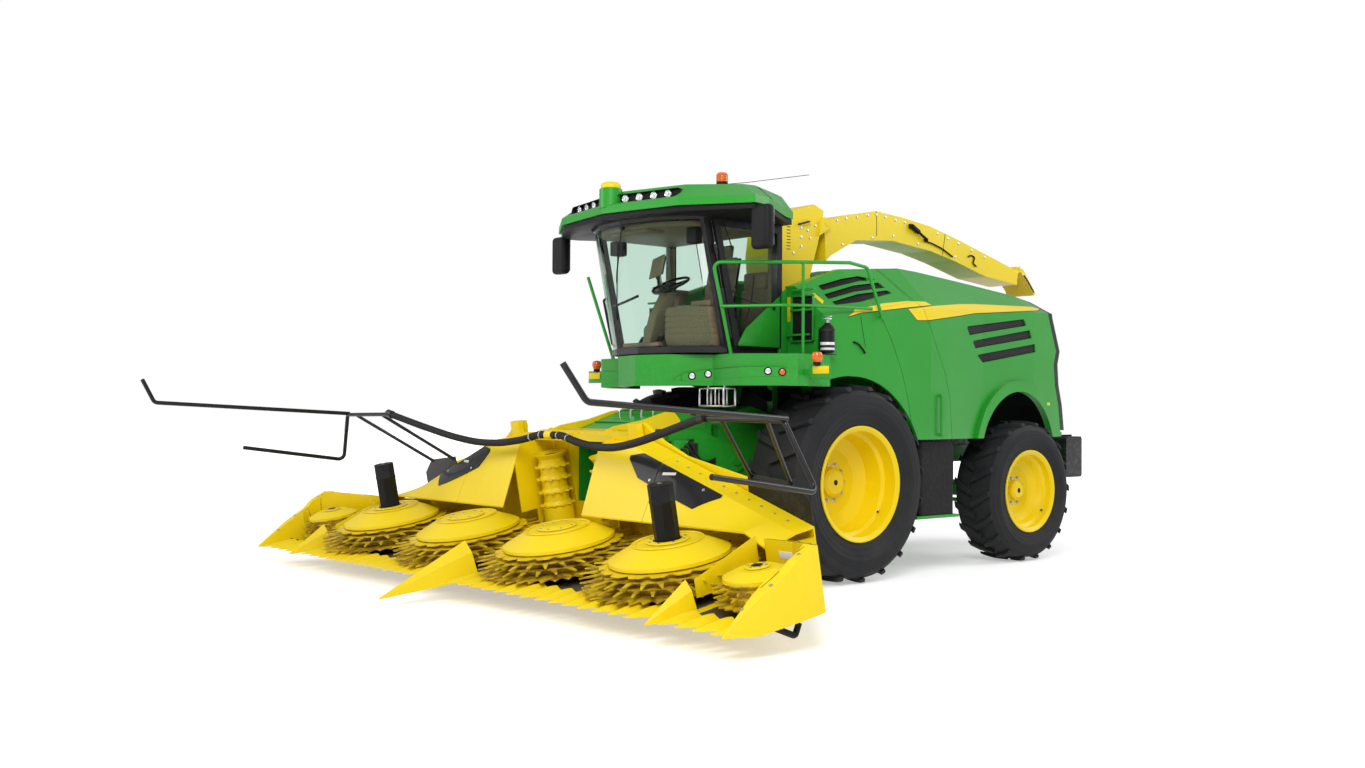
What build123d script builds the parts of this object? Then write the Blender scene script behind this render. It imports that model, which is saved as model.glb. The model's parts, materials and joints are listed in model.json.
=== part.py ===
"""Self-propelled forage harvester with a folding rotary maize header.

Millimetres. +X is the machine's left, -Y its front, +Z up. Pieces are drawn from the ground
point under the front axle, and saved about the middle of the whole machine's length.
"""

from build123d import *
from math import atan, cos, degrees, pi, radians, sin, tan
import os

# Running gear
wheelbase = 3047
seat_gap = 0.3
front_tyre_radius = 978.5
front_tyre_width = 710
front_tyre_mid = 1175
front_rim_half = 318
front_rim_flange = 572
front_dish_depth = 420
rear_tyre_radius = 798
rear_tyre_width = 540
rear_tyre_mid = 1085
rear_rim_half = 246
rear_rim_flange = 466
rear_dish_depth = 235
flange_height = 38
tyre_wall = 45
tyre_crown = 36
front_lug_height = 46
front_lug_pairs = 19
rear_lug_height = 40
rear_lug_pairs = 18
rim_wall = 13
front_spindle_radius = 90
rear_spindle_radius = 55
hub_cap_depth = 75
front_axle_radius = 130
final_drive_radius = 200
kingpin_x = 790
kingpin_radius = 36
kingpin_boss_radius = 66
kingpin_boss_half = 95
knuckle_ear = 45
steer_arm_reach = 270
tie_rod_drop = 150
tie_rod_radius = 24
tie_pin_radius = 10
tie_eye_radius = 20
tie_eye_half = 31

# Frame
rail_inner = 300
rail_outer = 380
rail_height = 190
rail_front = -130
rail_rear = 4900
hitch_half_width = 560
hitch_front = 4920
hitch_depth = 350
hitch_low = 870
hitch_high = 1390

# Bodywork
body_bottom = 1405
panel_wall = 30
panel_seam = 8
louvre_depth = 20
louvre_corner = 18
flare_width = 125
flare_proud = 50
front_arch_y = -60
front_arch_z = 930
front_arch_radius = 1110
rear_arch_y = 3020
rear_arch_z = 1080
rear_arch_radius = 850
body_front = -430
well_half_width = 870
well_rear_y = 930
hoop_depth = 75
sill_low = 1410
sill_high = 1460
deck_plate_z = 2560

# Cab
cab_floor_z = 2250
cab_height = 1340
cab_rear_y = -470
door_rear_y = -520
glass_thickness = 8
roof_gap = 10
roof_rim = 60
roof_rise = 160
lamp_pitch = 170
lamp_radius = 40
recess_depth = 45

# Spout
slew_y = 350
slew_ring_z = 2700
slew_ring_radius = 330
lift_hinge_y = 800
lift_hinge_z = 3740
spout_half_width = 215
flap_hinge_y = 4390
flap_hinge_z = 3520

# Feeder and header carrier
chopper_half_width = 420
feeder_pivot_y = -700
feeder_pivot_z = 1200
feeder_pin_radius = 60
feeder_front_y = -2060
lift_pin_radius = 30
lift_x = 560
barrel_pin_y = -420
barrel_pin_z = 600
rod_pin_y = -1700
rod_pin_z = 640

# Rotary header, drawn flat and then tilted forward about the rotors' cap height
header_tilt = 10.7
header_y = -3110
header_z = 669
rotor_pitch = 1500
rotor_radius = rotor_pitch / 2 - 20
rotor_cap_radius = rotor_radius - 240
rotor_cap_flat = 280
rotor_bottom = -350
disc_thickness = 9
rotor_sheet = 11
hub_top = -165
small_cap_radius = 260
small_cap_flat = 150
small_cap_z = -75
rotor_shaft_radius = 60
small_rotor_radius = 345
small_rotor_x = 1.5 * rotor_pitch + rotor_radius + small_rotor_radius + 50
small_rotor_y = -120
post_radius = 100
post_height = 455
floor_top = -385
floor_thickness = 20
floor_front = -480
header_rear = 880
fold_plane = rotor_pitch
fold_gap = 8
fold_hinge_x = 950
fold_hinge_z = 700
fold_pin_radius = 28
ridge_high = 600
ridge_slope = 0.346
ridge_start = 1127
ridge_front = 660
hood_front = 350
hood_low = 20
throat_half = 640
throat_rear = 1048
throat_top = 660
hood_wall = 14
cover_root = -4
cover_thickness = 8
drum_x = 449
drum_y = 856
drum_top = 456
drum_radius = 150
drum_tip_radius = 172
header_half_width = small_rotor_x + 455
end_seam = header_half_width - 834
finger_pitch = 190
finger_length = 330
finger_tip_y = -850
guide_tube_radius = 21
hose_radius = 36


def flat(points):
    """Face from a closed outline."""
    return make_face(Polyline(*points, close=True))


def across(points, x0, x1):
    """Outline of (y, z) points, swept from x0 to x1."""
    return extrude(Plane.YZ.offset(x0) * flat(points), x1 - x0)


def along(points, y0, y1):
    """Outline of (x, z) points, swept from y0 to y1."""
    plane = Plane(origin=(0, y1, 0), x_dir=(1, 0, 0), z_dir=(0, -1, 0))
    return extrude(plane * flat(points), y1 - y0)


def upright(points, z0, z1):
    """Outline of (x, y) points, swept from z0 to z1."""
    return extrude(Plane.XY.offset(z0) * flat(points), z1 - z0)


def block(x0, x1, y0, y1, z0, z1):
    return Pos(x0, y0, z0) * Box(x1 - x0, y1 - y0, z1 - z0, align=Align.MIN)


def rod(start, end, radius):
    """Round bar between two points."""
    start, end = Vector(*start), Vector(*end)
    length = (end - start).length
    seat = Plane(origin=start, z_dir=end - start)
    return seat * Cylinder(radius, length, align=(Align.CENTER, Align.CENTER, Align.MIN))


def standing(x, y, z, radius, height):
    """Upright cylinder on its base's centre."""
    return Pos(x, y, z) * Cylinder(radius, height, align=(Align.CENTER, Align.CENTER, Align.MIN))


def bent_tube(points, radius, bend):
    """Round tube along straight runs that bends of one radius join."""
    path = FilletPolyline(*points, radius=bend)
    seat = Plane(origin=path @ 0, z_dir=path % 0)
    return sweep(seat * Circle(radius), path=path)


def mirrored(shape):
    return mirror(shape, about=Plane.YZ)


def both(shape):
    return Compound([shape, mirrored(shape)]) if shape.bounding_box().min.X > 0 else shape + mirrored(shape)


def turned(profile):
    """Ring from an (x, radius) outline, turned about X."""
    return revolve(flat(profile), axis=Axis.X)


# Wheels

def ring(outline):
    """Ring symmetrical about its middle plane, from the right half of its (x, radius) outline."""
    return turned(outline + [(-x, r) for x, r in reversed(outline)])


def lug(radius, half, height):
    """One slanted tread bar on the right half, whose crown follows the tyre's."""
    bar = extrude(Plane.XY.offset(radius - height - 14) * flat([
        (-12, -32), (0.5 * half, 34), (0.95 * half, 112), (0.95 * half, 172), (0.5 * half, 96), (-12, 30)]),
        height + 30)
    return bar & ring([(half * 0.98, radius - 200), (half * 0.96, radius - 85), (half * 0.86, radius - 14),
                       (half * 0.5, radius)])


def tyre(radius, width, rim_half, rim_flange, lug_height, lug_pairs):
    """Hollow carcass, open at its beads, with chevron lugs that lead at the middle."""
    seat = rim_flange - flange_height + seat_gap
    half = width / 2
    bead = rim_half - rim_wall - seat_gap
    crown = radius - lug_height
    right = [
        (bead, seat),
        (bead, rim_flange + 10),
        (half, rim_flange + 0.42 * (radius - rim_flange)),
        (half * 0.95, radius - 105),
        (half * 0.84, crown - 12),
        (half * 0.5, crown),
    ]
    hollow = [
        (bead - 55, seat - 1),
        (bead - 55, rim_flange + 20),
        (half - tyre_wall, rim_flange + 0.42 * (radius - rim_flange)),
        (half * 0.96 - tyre_wall, radius - 100),
        (half * 0.8 - tyre_wall, crown - tyre_crown),
    ]

    carcass = ring(right) - ring(hollow)
    first = lug(radius, half, lug_height)
    second = mirrored(first)
    step = 360 / lug_pairs
    lugs = []
    for index in range(lug_pairs):
        lugs.append(Rot(step * index, 0, 0) * first)
        lugs.append(Rot(step * (index + 0.5), 0, 0) * second)
    return carcass + lugs


def rim(rim_half, rim_flange, dish_depth, spindle_radius, disc_radius, bolt_radius):
    """Dished rim with its hub: the outer side is +X."""
    seat = rim_flange - flange_height
    inside = seat - rim_wall
    face = rim_half - dish_depth
    barrel = turned([
        (-rim_half, rim_flange), (-rim_half + rim_wall, rim_flange), (-rim_half + rim_wall, seat),
        (rim_half - rim_wall, seat), (rim_half - rim_wall, rim_flange), (rim_half, rim_flange),
        (rim_half, rim_flange - 14), (rim_half - 20, inside), (-rim_half + 20, inside),
        (-rim_half, rim_flange - 14),
    ])
    step = 0.36 * dish_depth
    dish = turned([
        (rim_half - step, inside + 5), (rim_half - step - 30, inside - 34), (face + 60, inside - 60),
        (face + 16, disc_radius + 40), (face, disc_radius), (face, spindle_radius + seat_gap),
        (face - 26, spindle_radius + seat_gap), (face - 26, disc_radius + 12),
        (face - 8, disc_radius + 56), (face + 38, inside - 46), (rim_half - step - 46, inside - 20),
        (rim_half - step - 24, inside + 5),
    ])
    cap_radius = bolt_radius - 40
    cap = turned([
        (face - 1, spindle_radius + seat_gap), (face - 1, cap_radius), (face + 50, cap_radius),
        (face + hub_cap_depth, cap_radius - 30), (face + hub_cap_depth, 0), (face + 55, 0),
        (face + 55, spindle_radius + seat_gap),
    ])
    return barrel + dish + cap


front_axle_z = front_tyre_radius
rear_axle_z = rear_tyre_radius
front_disc_x = front_tyre_mid + 3 + front_rim_half - front_dish_depth
rear_disc_x = rear_tyre_mid + rear_rim_half - rear_dish_depth

front_tyre = Pos(front_tyre_mid + 3, 0, front_axle_z) * tyre(
    front_tyre_radius, front_tyre_width, front_rim_half, front_rim_flange, front_lug_height,
    front_lug_pairs)
front_rim = Pos(front_tyre_mid + 3, 0, front_axle_z) * rim(
    front_rim_half, front_rim_flange, front_dish_depth, front_spindle_radius, 330, 185)
rear_tyre = Pos(rear_tyre_mid, wheelbase, rear_axle_z) * tyre(
    rear_tyre_radius, rear_tyre_width, rear_rim_half, rear_rim_flange, rear_lug_height, rear_lug_pairs)
rear_rim = Pos(rear_tyre_mid, wheelbase, rear_axle_z) * rim(
    rear_rim_half, rear_rim_flange, rear_dish_depth, rear_spindle_radius, 270, 150)

# Front axle: tube, final drives and spindles
housing_end = front_disc_x - 26 - 14
front_axle = rod((-480, 0, front_axle_z), (480, 0, front_axle_z), front_axle_radius)
for side in (-1, 1):
    front_axle += rod((side * 470, 0, front_axle_z), (side * housing_end, 0, front_axle_z),
                      final_drive_radius)
    front_axle += rod((side * housing_end, 0, front_axle_z),
                      (side * (front_disc_x + 50), 0, front_axle_z), front_spindle_radius)

# Rear axle: beam with a boss for each kingpin, hung from the frame on a lengthwise pin
boss_half = kingpin_boss_half
beam = along([(-kingpin_x, rear_axle_z - 60), (-420, rear_axle_z - 95), (420, rear_axle_z - 95),
              (kingpin_x, rear_axle_z - 60), (kingpin_x, rear_axle_z + 60), (420, rear_axle_z + 85),
              (-420, rear_axle_z + 85), (-kingpin_x, rear_axle_z + 60)],
             wheelbase - 62, wheelbase + 62)
for side in (-1, 1):
    beam += Pos(side * kingpin_x, wheelbase, rear_axle_z) * Cylinder(kingpin_boss_radius, 2 * boss_half)
for side in (-1, 1):
    kingpin_seat = Pos(side * kingpin_x, wheelbase, rear_axle_z)
    beam -= kingpin_seat * Cylinder(kingpin_radius + seat_gap, 2 * boss_half + 2)
swing_pin_radius = 45
beam += rod((0, wheelbase - 79.7, rear_axle_z), (0, wheelbase + 79.7, rear_axle_z), 92)
rear_axle = beam + rod((0, wheelbase - 200, rear_axle_z), (0, wheelbase + 200, rear_axle_z), swing_pin_radius)

# Steering knuckle: two ears on a kingpin, a web, the spindle and an arm to the rear
ear_low = boss_half + seat_gap
knuckle = Pos(kingpin_x, wheelbase, rear_axle_z) * Cylinder(kingpin_radius, 2 * (ear_low + knuckle_ear))
for sign in (-1, 1):
    ear_z = rear_axle_z + sign * (ear_low + knuckle_ear / 2)
    knuckle += Pos(kingpin_x, wheelbase, ear_z) * Cylinder(kingpin_boss_radius + 6, knuckle_ear)
    knuckle += Pos(kingpin_x + 55, wheelbase, ear_z) * Box(110, 120, knuckle_ear)
web_x = kingpin_x + kingpin_boss_radius + 18
knuckle += block(web_x, web_x + 42, wheelbase - 90, wheelbase + 90,
                 rear_axle_z - ear_low - knuckle_ear, rear_axle_z + ear_low + knuckle_ear)
knuckle += rod((web_x + 30, wheelbase, rear_axle_z), (rear_disc_x - 26 - 12, wheelbase, rear_axle_z), 110)
knuckle += rod((web_x + 30, wheelbase, rear_axle_z), (rear_disc_x + 50, wheelbase, rear_axle_z),
               rear_spindle_radius)
arm_z = rear_axle_z - tie_rod_drop
arm_x = kingpin_x
arm_y = wheelbase + steer_arm_reach
knuckle += upright([(kingpin_x - 60, wheelbase - 40), (kingpin_x + 60, wheelbase - 40),
                    (kingpin_x + 60, wheelbase + 60), (arm_x + 34, arm_y + 34), (arm_x - 34, arm_y + 34),
                    (arm_x - 34, arm_y - 34)],
                   rear_axle_z - ear_low - knuckle_ear, rear_axle_z - ear_low - 8)
arm_low = rear_axle_z - ear_low - knuckle_ear
knuckle += rod((arm_x, arm_y, arm_low - 2 * tie_eye_half - 12), (arm_x, arm_y, arm_low + 1), tie_pin_radius)

tie_z = arm_low - tie_eye_half - seat_gap
tie_rod = rod((6 - arm_x, arm_y, tie_z), (arm_x - 6, arm_y, tie_z), tie_rod_radius)
for side in (-1, 1):
    tie_rod += Pos(side * arm_x, arm_y, tie_z) * Cylinder(tie_eye_radius, 2 * tie_eye_half)
for side in (-1, 1):
    tie_rod -= Pos(side * arm_x, arm_y, tie_z) * Cylinder(tie_pin_radius + seat_gap, 2 * tie_eye_half + 8)

# Frame: two rails on the front axle, cross members, hangers for the rear axle, tank shelves
rail_low = front_axle_z + front_axle_radius + seat_gap
rail_high = rail_low + rail_height
main_frame = both(block(rail_inner, rail_outer, rail_front, rail_rear, rail_low, rail_high))
for y in (rail_front, 290, 1250, 2150, wheelbase - 160, wheelbase + 80, 4300, rail_rear - 80):
    main_frame += block(-rail_inner - 1, rail_inner + 1, y, y + 80, rail_low, rail_high)
for y in (wheelbase - 160, wheelbase + 80):
    hanger = across([(y, rail_low + 10), (y, rear_axle_z - 80), (y + 80, rear_axle_z - 80),
                     (y + 80, rail_low + 10)], -110, 110)
    main_frame += hanger
main_frame -= rod((0, wheelbase - 220, rear_axle_z), (0, wheelbase + 220, rear_axle_z),
                  swing_pin_radius + seat_gap)
shelf_z = 600
for side in (-1, 1):
    main_frame += along([(side * (rail_outer - 10), rail_low + 120), (side * (rail_outer - 10), rail_low),
                         (side * 760, shelf_z - 30), (side * 1330, shelf_z - 30), (side * 1330, shelf_z),
                         (side * 800, shelf_z), (side * 640, rail_low + 120)], 1080, 1100)
    main_frame += along([(side * (rail_outer - 10), rail_low + 120), (side * (rail_outer - 10), rail_low),
                         (side * 760, shelf_z - 30), (side * 1330, shelf_z - 30), (side * 1330, shelf_z),
                         (side * 800, shelf_z), (side * 640, rail_low + 120)], 1700, 1720)
    low, high = sorted((side * 760, side * 1330))
    main_frame += block(low, high, 1040, 1740, shelf_z - 30, shelf_z)

# Side tanks, which stand on the shelves
tank_outline = [(1110, shelf_z + seat_gap), (1690, shelf_z + seat_gap), (1690, 1280),
                (1640, body_bottom - 25), (1110, body_bottom - 25)]
side_tanks = both(fillet(across(tank_outline, 820, 1310).edges().filter_by(Axis.Z), 45))

engine_block = block(-rail_inner - 60, rail_inner + 60, 2250, 3550, rail_high + seat_gap, 2350)

rear_hitch = block(-hitch_half_width, hitch_half_width, hitch_front, hitch_front + hitch_depth,
                   hitch_low, hitch_high)
rear_hitch = chamfer(rear_hitch.edges().filter_by(Axis.X), 24)
hitch_pin_y = hitch_front + 60
rear_hitch += rod((0, hitch_pin_y, hitch_high - 5), (0, hitch_pin_y, hitch_high + 105), 14)
rear_hitch += block(-rail_outer, rail_outer, rail_rear + seat_gap, hitch_front + 1, rail_low, rail_high)


# Bodywork: one hollow form, lofted through cross-sections, which the seams divide

# y, half width at the side, height where the roof slope starts, half width and height of the
# roof's edge, height on the centreline
body_sections = [
    (body_front, 1395, 2610, 985, 2930, 2960),
    (250, 1425, 2700, 965, 3150, 3185),
    (1150, 1420, 2770, 960, 3225, 3270),
    (1500, 1370, 2790, 930, 3215, 3265),
    (2300, 1225, 2820, 890, 3160, 3220),
    (3400, 1125, 2865, 800, 3085, 3130),
    (4200, 1000, 2880, 720, 2990, 3020),
]


def body_form(inset, bottom):
    """Loft of the whole bodywork, inset by a wall all round."""
    faces = []
    for y, side, slope_z, edge, edge_z, crown_z in body_sections:
        half = [(side - inset, bottom), (side - inset, slope_z - 0.4 * inset),
                (edge - 0.6 * inset, edge_z - inset), (0, crown_z - inset)]
        points = half + [(-x, z) for x, z in reversed(half[:-1])]
        plane = Plane(origin=(0, y, 0), x_dir=(1, 0, 0), z_dir=(0, -1, 0))
        faces.append(plane * flat(points))
    return loft(faces, ruled=True)


skin = body_form(0, body_bottom) - body_form(panel_wall, body_bottom - 50)
arches = Pos(0, front_arch_y, front_arch_z) * Rot(0, 90, 0) * Cylinder(front_arch_radius, 3200)
arches += Pos(0, rear_arch_y, rear_arch_z) * Rot(0, 90, 0) * Cylinder(rear_arch_radius, 3200)
skin -= arches

# Seams in side view, from the roof's edge to the bottom: (y, z)
seam_gap = panel_seam / 2
first_seam = [(700, 3400), (930, 2900), (950, 2835), (390, 2735), (337, 2690), (533, 2400), (687, 2094),
              (785, 1814), (900, 1300)]
second_seam = [(720, 3400), (974, 2868), (1094, 2645), (1246, 2406), (1433, 2112), (1542, 1821),
               (1600, 1300)]
rear_line = [(3760, 3400), (3760, 2930), (3800, 2810), (3990, 2430), (3930, 2270), (3960, 2020),
             (4050, 1780), (4140, 1300)]


def between(front_line, back_line):
    """Slab across the body between two side-view lines, drawn in by half a seam each."""
    front = [(y + seam_gap, z) for y, z in front_line]
    back = [(y - seam_gap, z) for y, z in back_line]
    return across(front + list(reversed(back)), -1600, 1600)


roof_cut = 940
front_zone = between([(body_front, 3400), (body_front, 1300)], first_seam)
mid_zone = between(first_seam, second_seam)
rear_zone = between(second_seam, rear_line)
roof_strip = along([(-roof_cut, 3600), (-roof_cut + 130, 2700), (roof_cut - 130, 2700), (roof_cut, 3600)],
                   well_rear_y + panel_seam, 3760)
side_strip = along([(-roof_cut - 8, 3610), (-roof_cut + 122, 2690), (roof_cut - 122, 2690),
                    (roof_cut + 8, 3610)], -700, 4400)

hood_top = skin & roof_strip
side_skin = skin - side_strip
front_panels = side_skin & front_zone
mid_panels = side_skin & mid_zone
rear_panels = side_skin & rear_zone
rear_panel_left = rear_panels & block(0, 1700, 0, 5000, 1000, 3600)

# The rear arch's flare stands proud of the skin
flare_ring = Pos(0, rear_arch_y, rear_arch_z) * Rot(0, 90, 0) * (
    Cylinder(rear_arch_radius + flare_width, 3200) - Cylinder(rear_arch_radius, 3300))
flare_form = body_form(-flare_proud, body_bottom) - body_form(panel_wall, body_bottom - 50)
flare_front = rear_arch_y - rear_arch_radius - flare_width
flare = flare_form & flare_ring & rear_zone & block(600, 1700, flare_front, 3960, body_bottom, 2300)
rear_panel_left += flare

# Louvres: corners of each slot in side view (y, z), from its front foot round
front_louvres = [
    [(-176, 2892), (-164, 2948), (174, 3040), (432, 3086), (640, 3057), (356, 3010)],
    [(-191, 2799), (-190, 2853), (258, 2972), (665, 3030), (706, 2976), (209, 2900)],
    [(-167, 2740), (-183, 2772), (219, 2876), (700, 2945), (736, 2916), (180, 2789)],
]
rear_louvres = [
    [(1981, 2531), (1913, 2623), (3174, 2772), (3240, 2699)],
    [(2118, 2392), (2049, 2470), (3307, 2651), (3357, 2559)],
    [(2292, 2241), (2153, 2321), (3427, 2494), (3446, 2400)],
]
louvre_shell = body_form(-60, body_bottom) - body_form(louvre_depth, body_bottom - 50)


def louvres(slots):
    """Blind slots in the skin, each with rounded corners."""
    cuts = []
    for slot in slots:
        mouth = fillet(flat(slot).vertices(), louvre_corner)
        cuts.append(extrude(Plane.YZ.offset(400) * mouth, 1200))
    return louvre_shell & Compound(cuts)


front_panels -= louvres(front_louvres)
rear_panel_left -= louvres(rear_louvres)
rear_panel_right = mirrored(rear_panel_left)

# Rear cover: the tail wall behind the rear line, closed at the back
tail_front = [(y + seam_gap, z) for y, z in rear_line]
tail_back = [(y + 95, z) for y, z in rear_line]
tail = body_form(0, 1480) & across(tail_front + list(reversed(tail_back)), -1600, 1600)
tail_core = body_form(panel_wall, 1400) & across(
    [(y - 60, z) for y, z in rear_line] + [(y + 60, z) for y, z in reversed(rear_line)], -1600, 1600)
rear_cover = tail - tail_core

# Stiffeners inside the skin: hoops under the seams, a sill, and plates round the spout's well


def band(line, reach):
    """Slab across the body along a side-view line."""
    front = [(y - reach, z) for y, z in line]
    back = [(y + reach, z) for y, z in reversed(line)]
    return across(front + back, -1600, 1600)


liner_form = body_form(panel_wall + seat_gap, body_bottom)
liner = liner_form - body_form(panel_wall + hoop_depth, body_bottom - 50)
hoop_zones = band(first_seam, 45) + band(second_seam, 45) + band(rear_line, 45)
hoop_zones += block(-1600, 1600, body_front + 5, body_front + 60, 1300, 3600)
hoop_zones += block(-1600, 1600, body_front + 5, 4200, sill_low, sill_high)
hoops = liner & hoop_zones
arch_clearance = 12
for arch_y, arch_z, arch_radius in ((front_arch_y, front_arch_z, front_arch_radius),
                                    (rear_arch_y, rear_arch_z, rear_arch_radius)):
    hoops -= Pos(0, arch_y, arch_z) * Rot(0, 90, 0) * Cylinder(arch_radius + arch_clearance, 3200)
hoops -= block(-well_half_width, well_half_width, -600, well_rear_y + 15, deck_plate_z + 20, 3600)
deck_plate = liner_form & block(-1600, 1600, body_front + 5, well_rear_y + 35, deck_plate_z,
                                deck_plate_z + 20)
deck_plate -= block(-215, 215, 120, 560, 2500, 2700)
front_wall = liner_form & block(-1600, 1600, body_front + 5, body_front + 25, 2000, deck_plate_z + 10)
well_wall = liner_form & block(-1600, 1600, well_rear_y + 15, well_rear_y + 35, deck_plate_z, 3600)
main_frame += hoops + deck_plate + front_wall + well_wall
for y in (1020, 1730, 4075):
    arm = liner_form & block(-1600, 1600, y, y + 50, body_bottom, sill_high)
    main_frame += arm + both(block(rail_inner, rail_outer, y, y + 50, rail_high - 10, body_bottom + 10))
for y in (rail_front, 400):
    main_frame += both(block(rail_inner, rail_outer, y, y + 70, rail_high - 10, deck_plate_z + 5))

cab_glass_top_z = cab_floor_z + cab_height
roof_low_z = cab_glass_top_z + roof_gap
roof_high_z = roof_low_z + roof_rim + roof_rise

# Cab platform on its two beams, and the fascia round it
deck_z = cab_floor_z - 70
deck_rear_y = body_front - 10
fascia_half = [(1480, deck_rear_y), (1480, -880), (1080, -1250), (690, -1240), (420, -1540), (0, -1660)]
fascia_inner = [(1434, deck_rear_y), (1434, -860), (1064, -1203), (672, -1193), (400, -1487), (0, -1610)]


def plan(half, shrink=0):
    """Whole outline from its left half, drawn in a little."""
    points = [(x - shrink if x else 0, y + shrink) for x, y in half]
    return points + [(-x, y) for x, y in reversed(points) if x]


platform = upright(plan(fascia_inner, seat_gap), deck_z - 60, deck_z)
fascia = upright(plan(fascia_half), 1930, 2235)
fascia -= upright(plan(fascia_inner), 1900, 2300)
beam_top = deck_z - 60
beam_rear = rail_front - seat_gap
for side in (-1, 1):
    first, last = sorted((side * rail_inner, side * rail_outer))
    platform += block(first, last, -1150, beam_rear, beam_top - 80, beam_top + 1)
    platform += across([(beam_rear, 1790), (beam_rear, 1900), (-640, beam_top - 79), (-760, beam_top - 79)],
                       first + 10, last - 10)
    main_frame -= block(first - seat_gap, last + seat_gap, body_front, body_front + 30,
                        beam_top - 80 - seat_gap, beam_top + 1 + seat_gap)

# Cab
glass_low = [(-850, -1190), (-700, -1400), (-420, -1560), (0, -1620), (420, -1560), (700, -1400),
             (850, -1190)]
glass_high = [(-850, -1490), (-700, -1680), (-420, -1820), (0, -1880), (420, -1820), (700, -1680),
              (850, -1490)]


def cab_form(inset, low, high):
    """Loft of the cab's glass line from its floor to its top rail."""
    faces = []
    for z, front in ((low, glass_low), (high, glass_high)):
        share = (z - cab_floor_z) / (cab_glass_top_z - cab_floor_z)
        points = []
        for (x, y), (_, y_high) in zip(glass_low, glass_high):
            lean = y + (y_high - y) * share
            points.append((x * (1 - inset / 850), lean + inset))
        points += [(850 - inset, cab_rear_y - inset), (-850 + inset, cab_rear_y - inset)]
        faces.append(Plane.XY.offset(z) * flat(points))
    return loft(faces, ruled=True)


floor_pan = cab_form(0, cab_floor_z, cab_floor_z + 60)
for x in (-640, 640):
    for y in (-1080, -580):
        floor_pan += rod((x, y, deck_z + seat_gap), (x, y, cab_floor_z + 1), 50)
top_rail = cab_form(0, cab_glass_top_z - 80, cab_glass_top_z)
top_rail -= cab_form(70, cab_glass_top_z - 90, cab_glass_top_z + 10)
a_pillar = loft([
    Plane.XY.offset(cab_floor_z + 50) * Pos(822, -1195) * Rectangle(56, 90),
    Plane.XY.offset(cab_glass_top_z - 60) * Pos(822, -1478) * Rectangle(56, 90),
], ruled=True)
rear_pillar = block(780, 850, cab_rear_y - 90, cab_rear_y, cab_floor_z + 50, cab_glass_top_z - 60)
cab_frame = floor_pan + top_rail + both(a_pillar) + both(rear_pillar)

shell_low = cab_floor_z + 60 + seat_gap
shell_high = cab_glass_top_z - 80 - seat_gap
glass_ring = cab_form(12, shell_low, shell_high)
glass_ring -= cab_form(12 + glass_thickness, shell_low - 5, shell_high + 5)
front_glass_zone = across([(-1280, 2200), (-1600, 3650), (-2100, 3650), (-2100, 2200)], -793.7, 793.7)
windshield = glass_ring & front_glass_zone
side_zone = across([(-1152.1, shell_low), (-1428, shell_high), (cab_rear_y - 90.3, shell_high),
                    (cab_rear_y - 90.3, shell_low)], -900, -700)
right_glass = glass_ring & side_zone
rear_glass = glass_ring & block(-779.7, 779.7, cab_rear_y - 60, cab_rear_y, cab_floor_z, 3700)
cab_glass = Compound([windshield.solids()[0], right_glass.solids()[0], rear_glass.solids()[0]])

# Left door, hung at the front on two pins along the leaning pillar
door_x = 858
door_wall = 34
door_outline = [(-1150, shell_low), (-1425, shell_high), (door_rear_y, shell_high), (door_rear_y, shell_low)]
pane_outline = [(-1075, shell_low + 60), (-1340, shell_high - 60), (door_rear_y - 60, shell_high - 60),
                (door_rear_y - 60, shell_low + 60)]
cab_door = across(door_outline, door_x, door_x + door_wall) - across(pane_outline, door_x - 10, door_x + 50)
pane = offset(flat(pane_outline), amount=-seat_gap, kind=Kind.INTERSECTION)
door_glass = extrude(Plane.YZ.offset(door_x + 12) * pane, glass_thickness)
hinge_foot = Vector(door_x + 17, -1176, shell_low)
hinge_way = Vector(0, -275, shell_high - shell_low).normalized()
for reach in (230, 900):
    low, middle, high = [hinge_foot + hinge_way * (reach + step) for step in (0, 45, 90)]
    frame_barrel = rod(low, middle - hinge_way * seat_gap, 16) + rod(low, high, 7)
    frame_barrel += block(815, low.X, low.Y - 10, low.Y + 10, low.Z + 6, low.Z + 34)
    cab_frame += frame_barrel
    door_barrel = rod(middle, high, 16) - rod(low, high + hinge_way * 5, 7 + seat_gap)
    door_lug = block(low.X - 12, low.X + 12, middle.Y + 4, middle.Y + 40, middle.Z + 10, middle.Z + 34)
    cab_door += door_barrel + (door_lug - rod(low, high + hinge_way * 5, 14))

roof_low_plan = [(-1000, -470), (-1060, -620), (-1500, -1290), (-1540, -1500), (-920, -1900), (0, -2080),
                 (920, -1900), (1540, -1500), (1500, -1290), (1060, -620), (1000, -470)]
roof_high_plan = [(-880, -510), (-960, -660), (-1200, -1180), (-1180, -1330), (-800, -1700), (0, -1900),
                  (800, -1700), (1180, -1330), (1200, -1180), (960, -660), (880, -510)]
brow_z = roof_low_z + roof_rim
roof_body = loft([Plane.XY.offset(brow_z) * flat(roof_low_plan),
                  Plane.XY.offset(roof_high_z) * flat(roof_high_plan)], ruled=True)
cab_roof = upright(roof_low_plan, cab_glass_top_z + seat_gap, brow_z + 1) + roof_body

seat_base = block(-260, 260, -900, -480, cab_floor_z + 60 + seat_gap, 2650)
seat_cushion = block(-270, 270, -1010, -470, 2640, 2780)
seat_back = across([(-620, 2770), (-500, 3420), (-440 - 30, 3420), (-480, 2770)], -250, 250)
seat_cushion = fillet(seat_cushion.edges(), 40)
driver_seat = Pos(0, -30, 0) * (seat_base + seat_cushion + seat_back)
column = rod((0, -1340, cab_floor_z + 20), (0, -1180, 2900), 60)
console = column + rod((0, -1185, 2890), (0, -1160, 2960), 205)
console &= block(-300, 300, -1600, -900, cab_floor_z + 60 + seat_gap, 3100)

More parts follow.
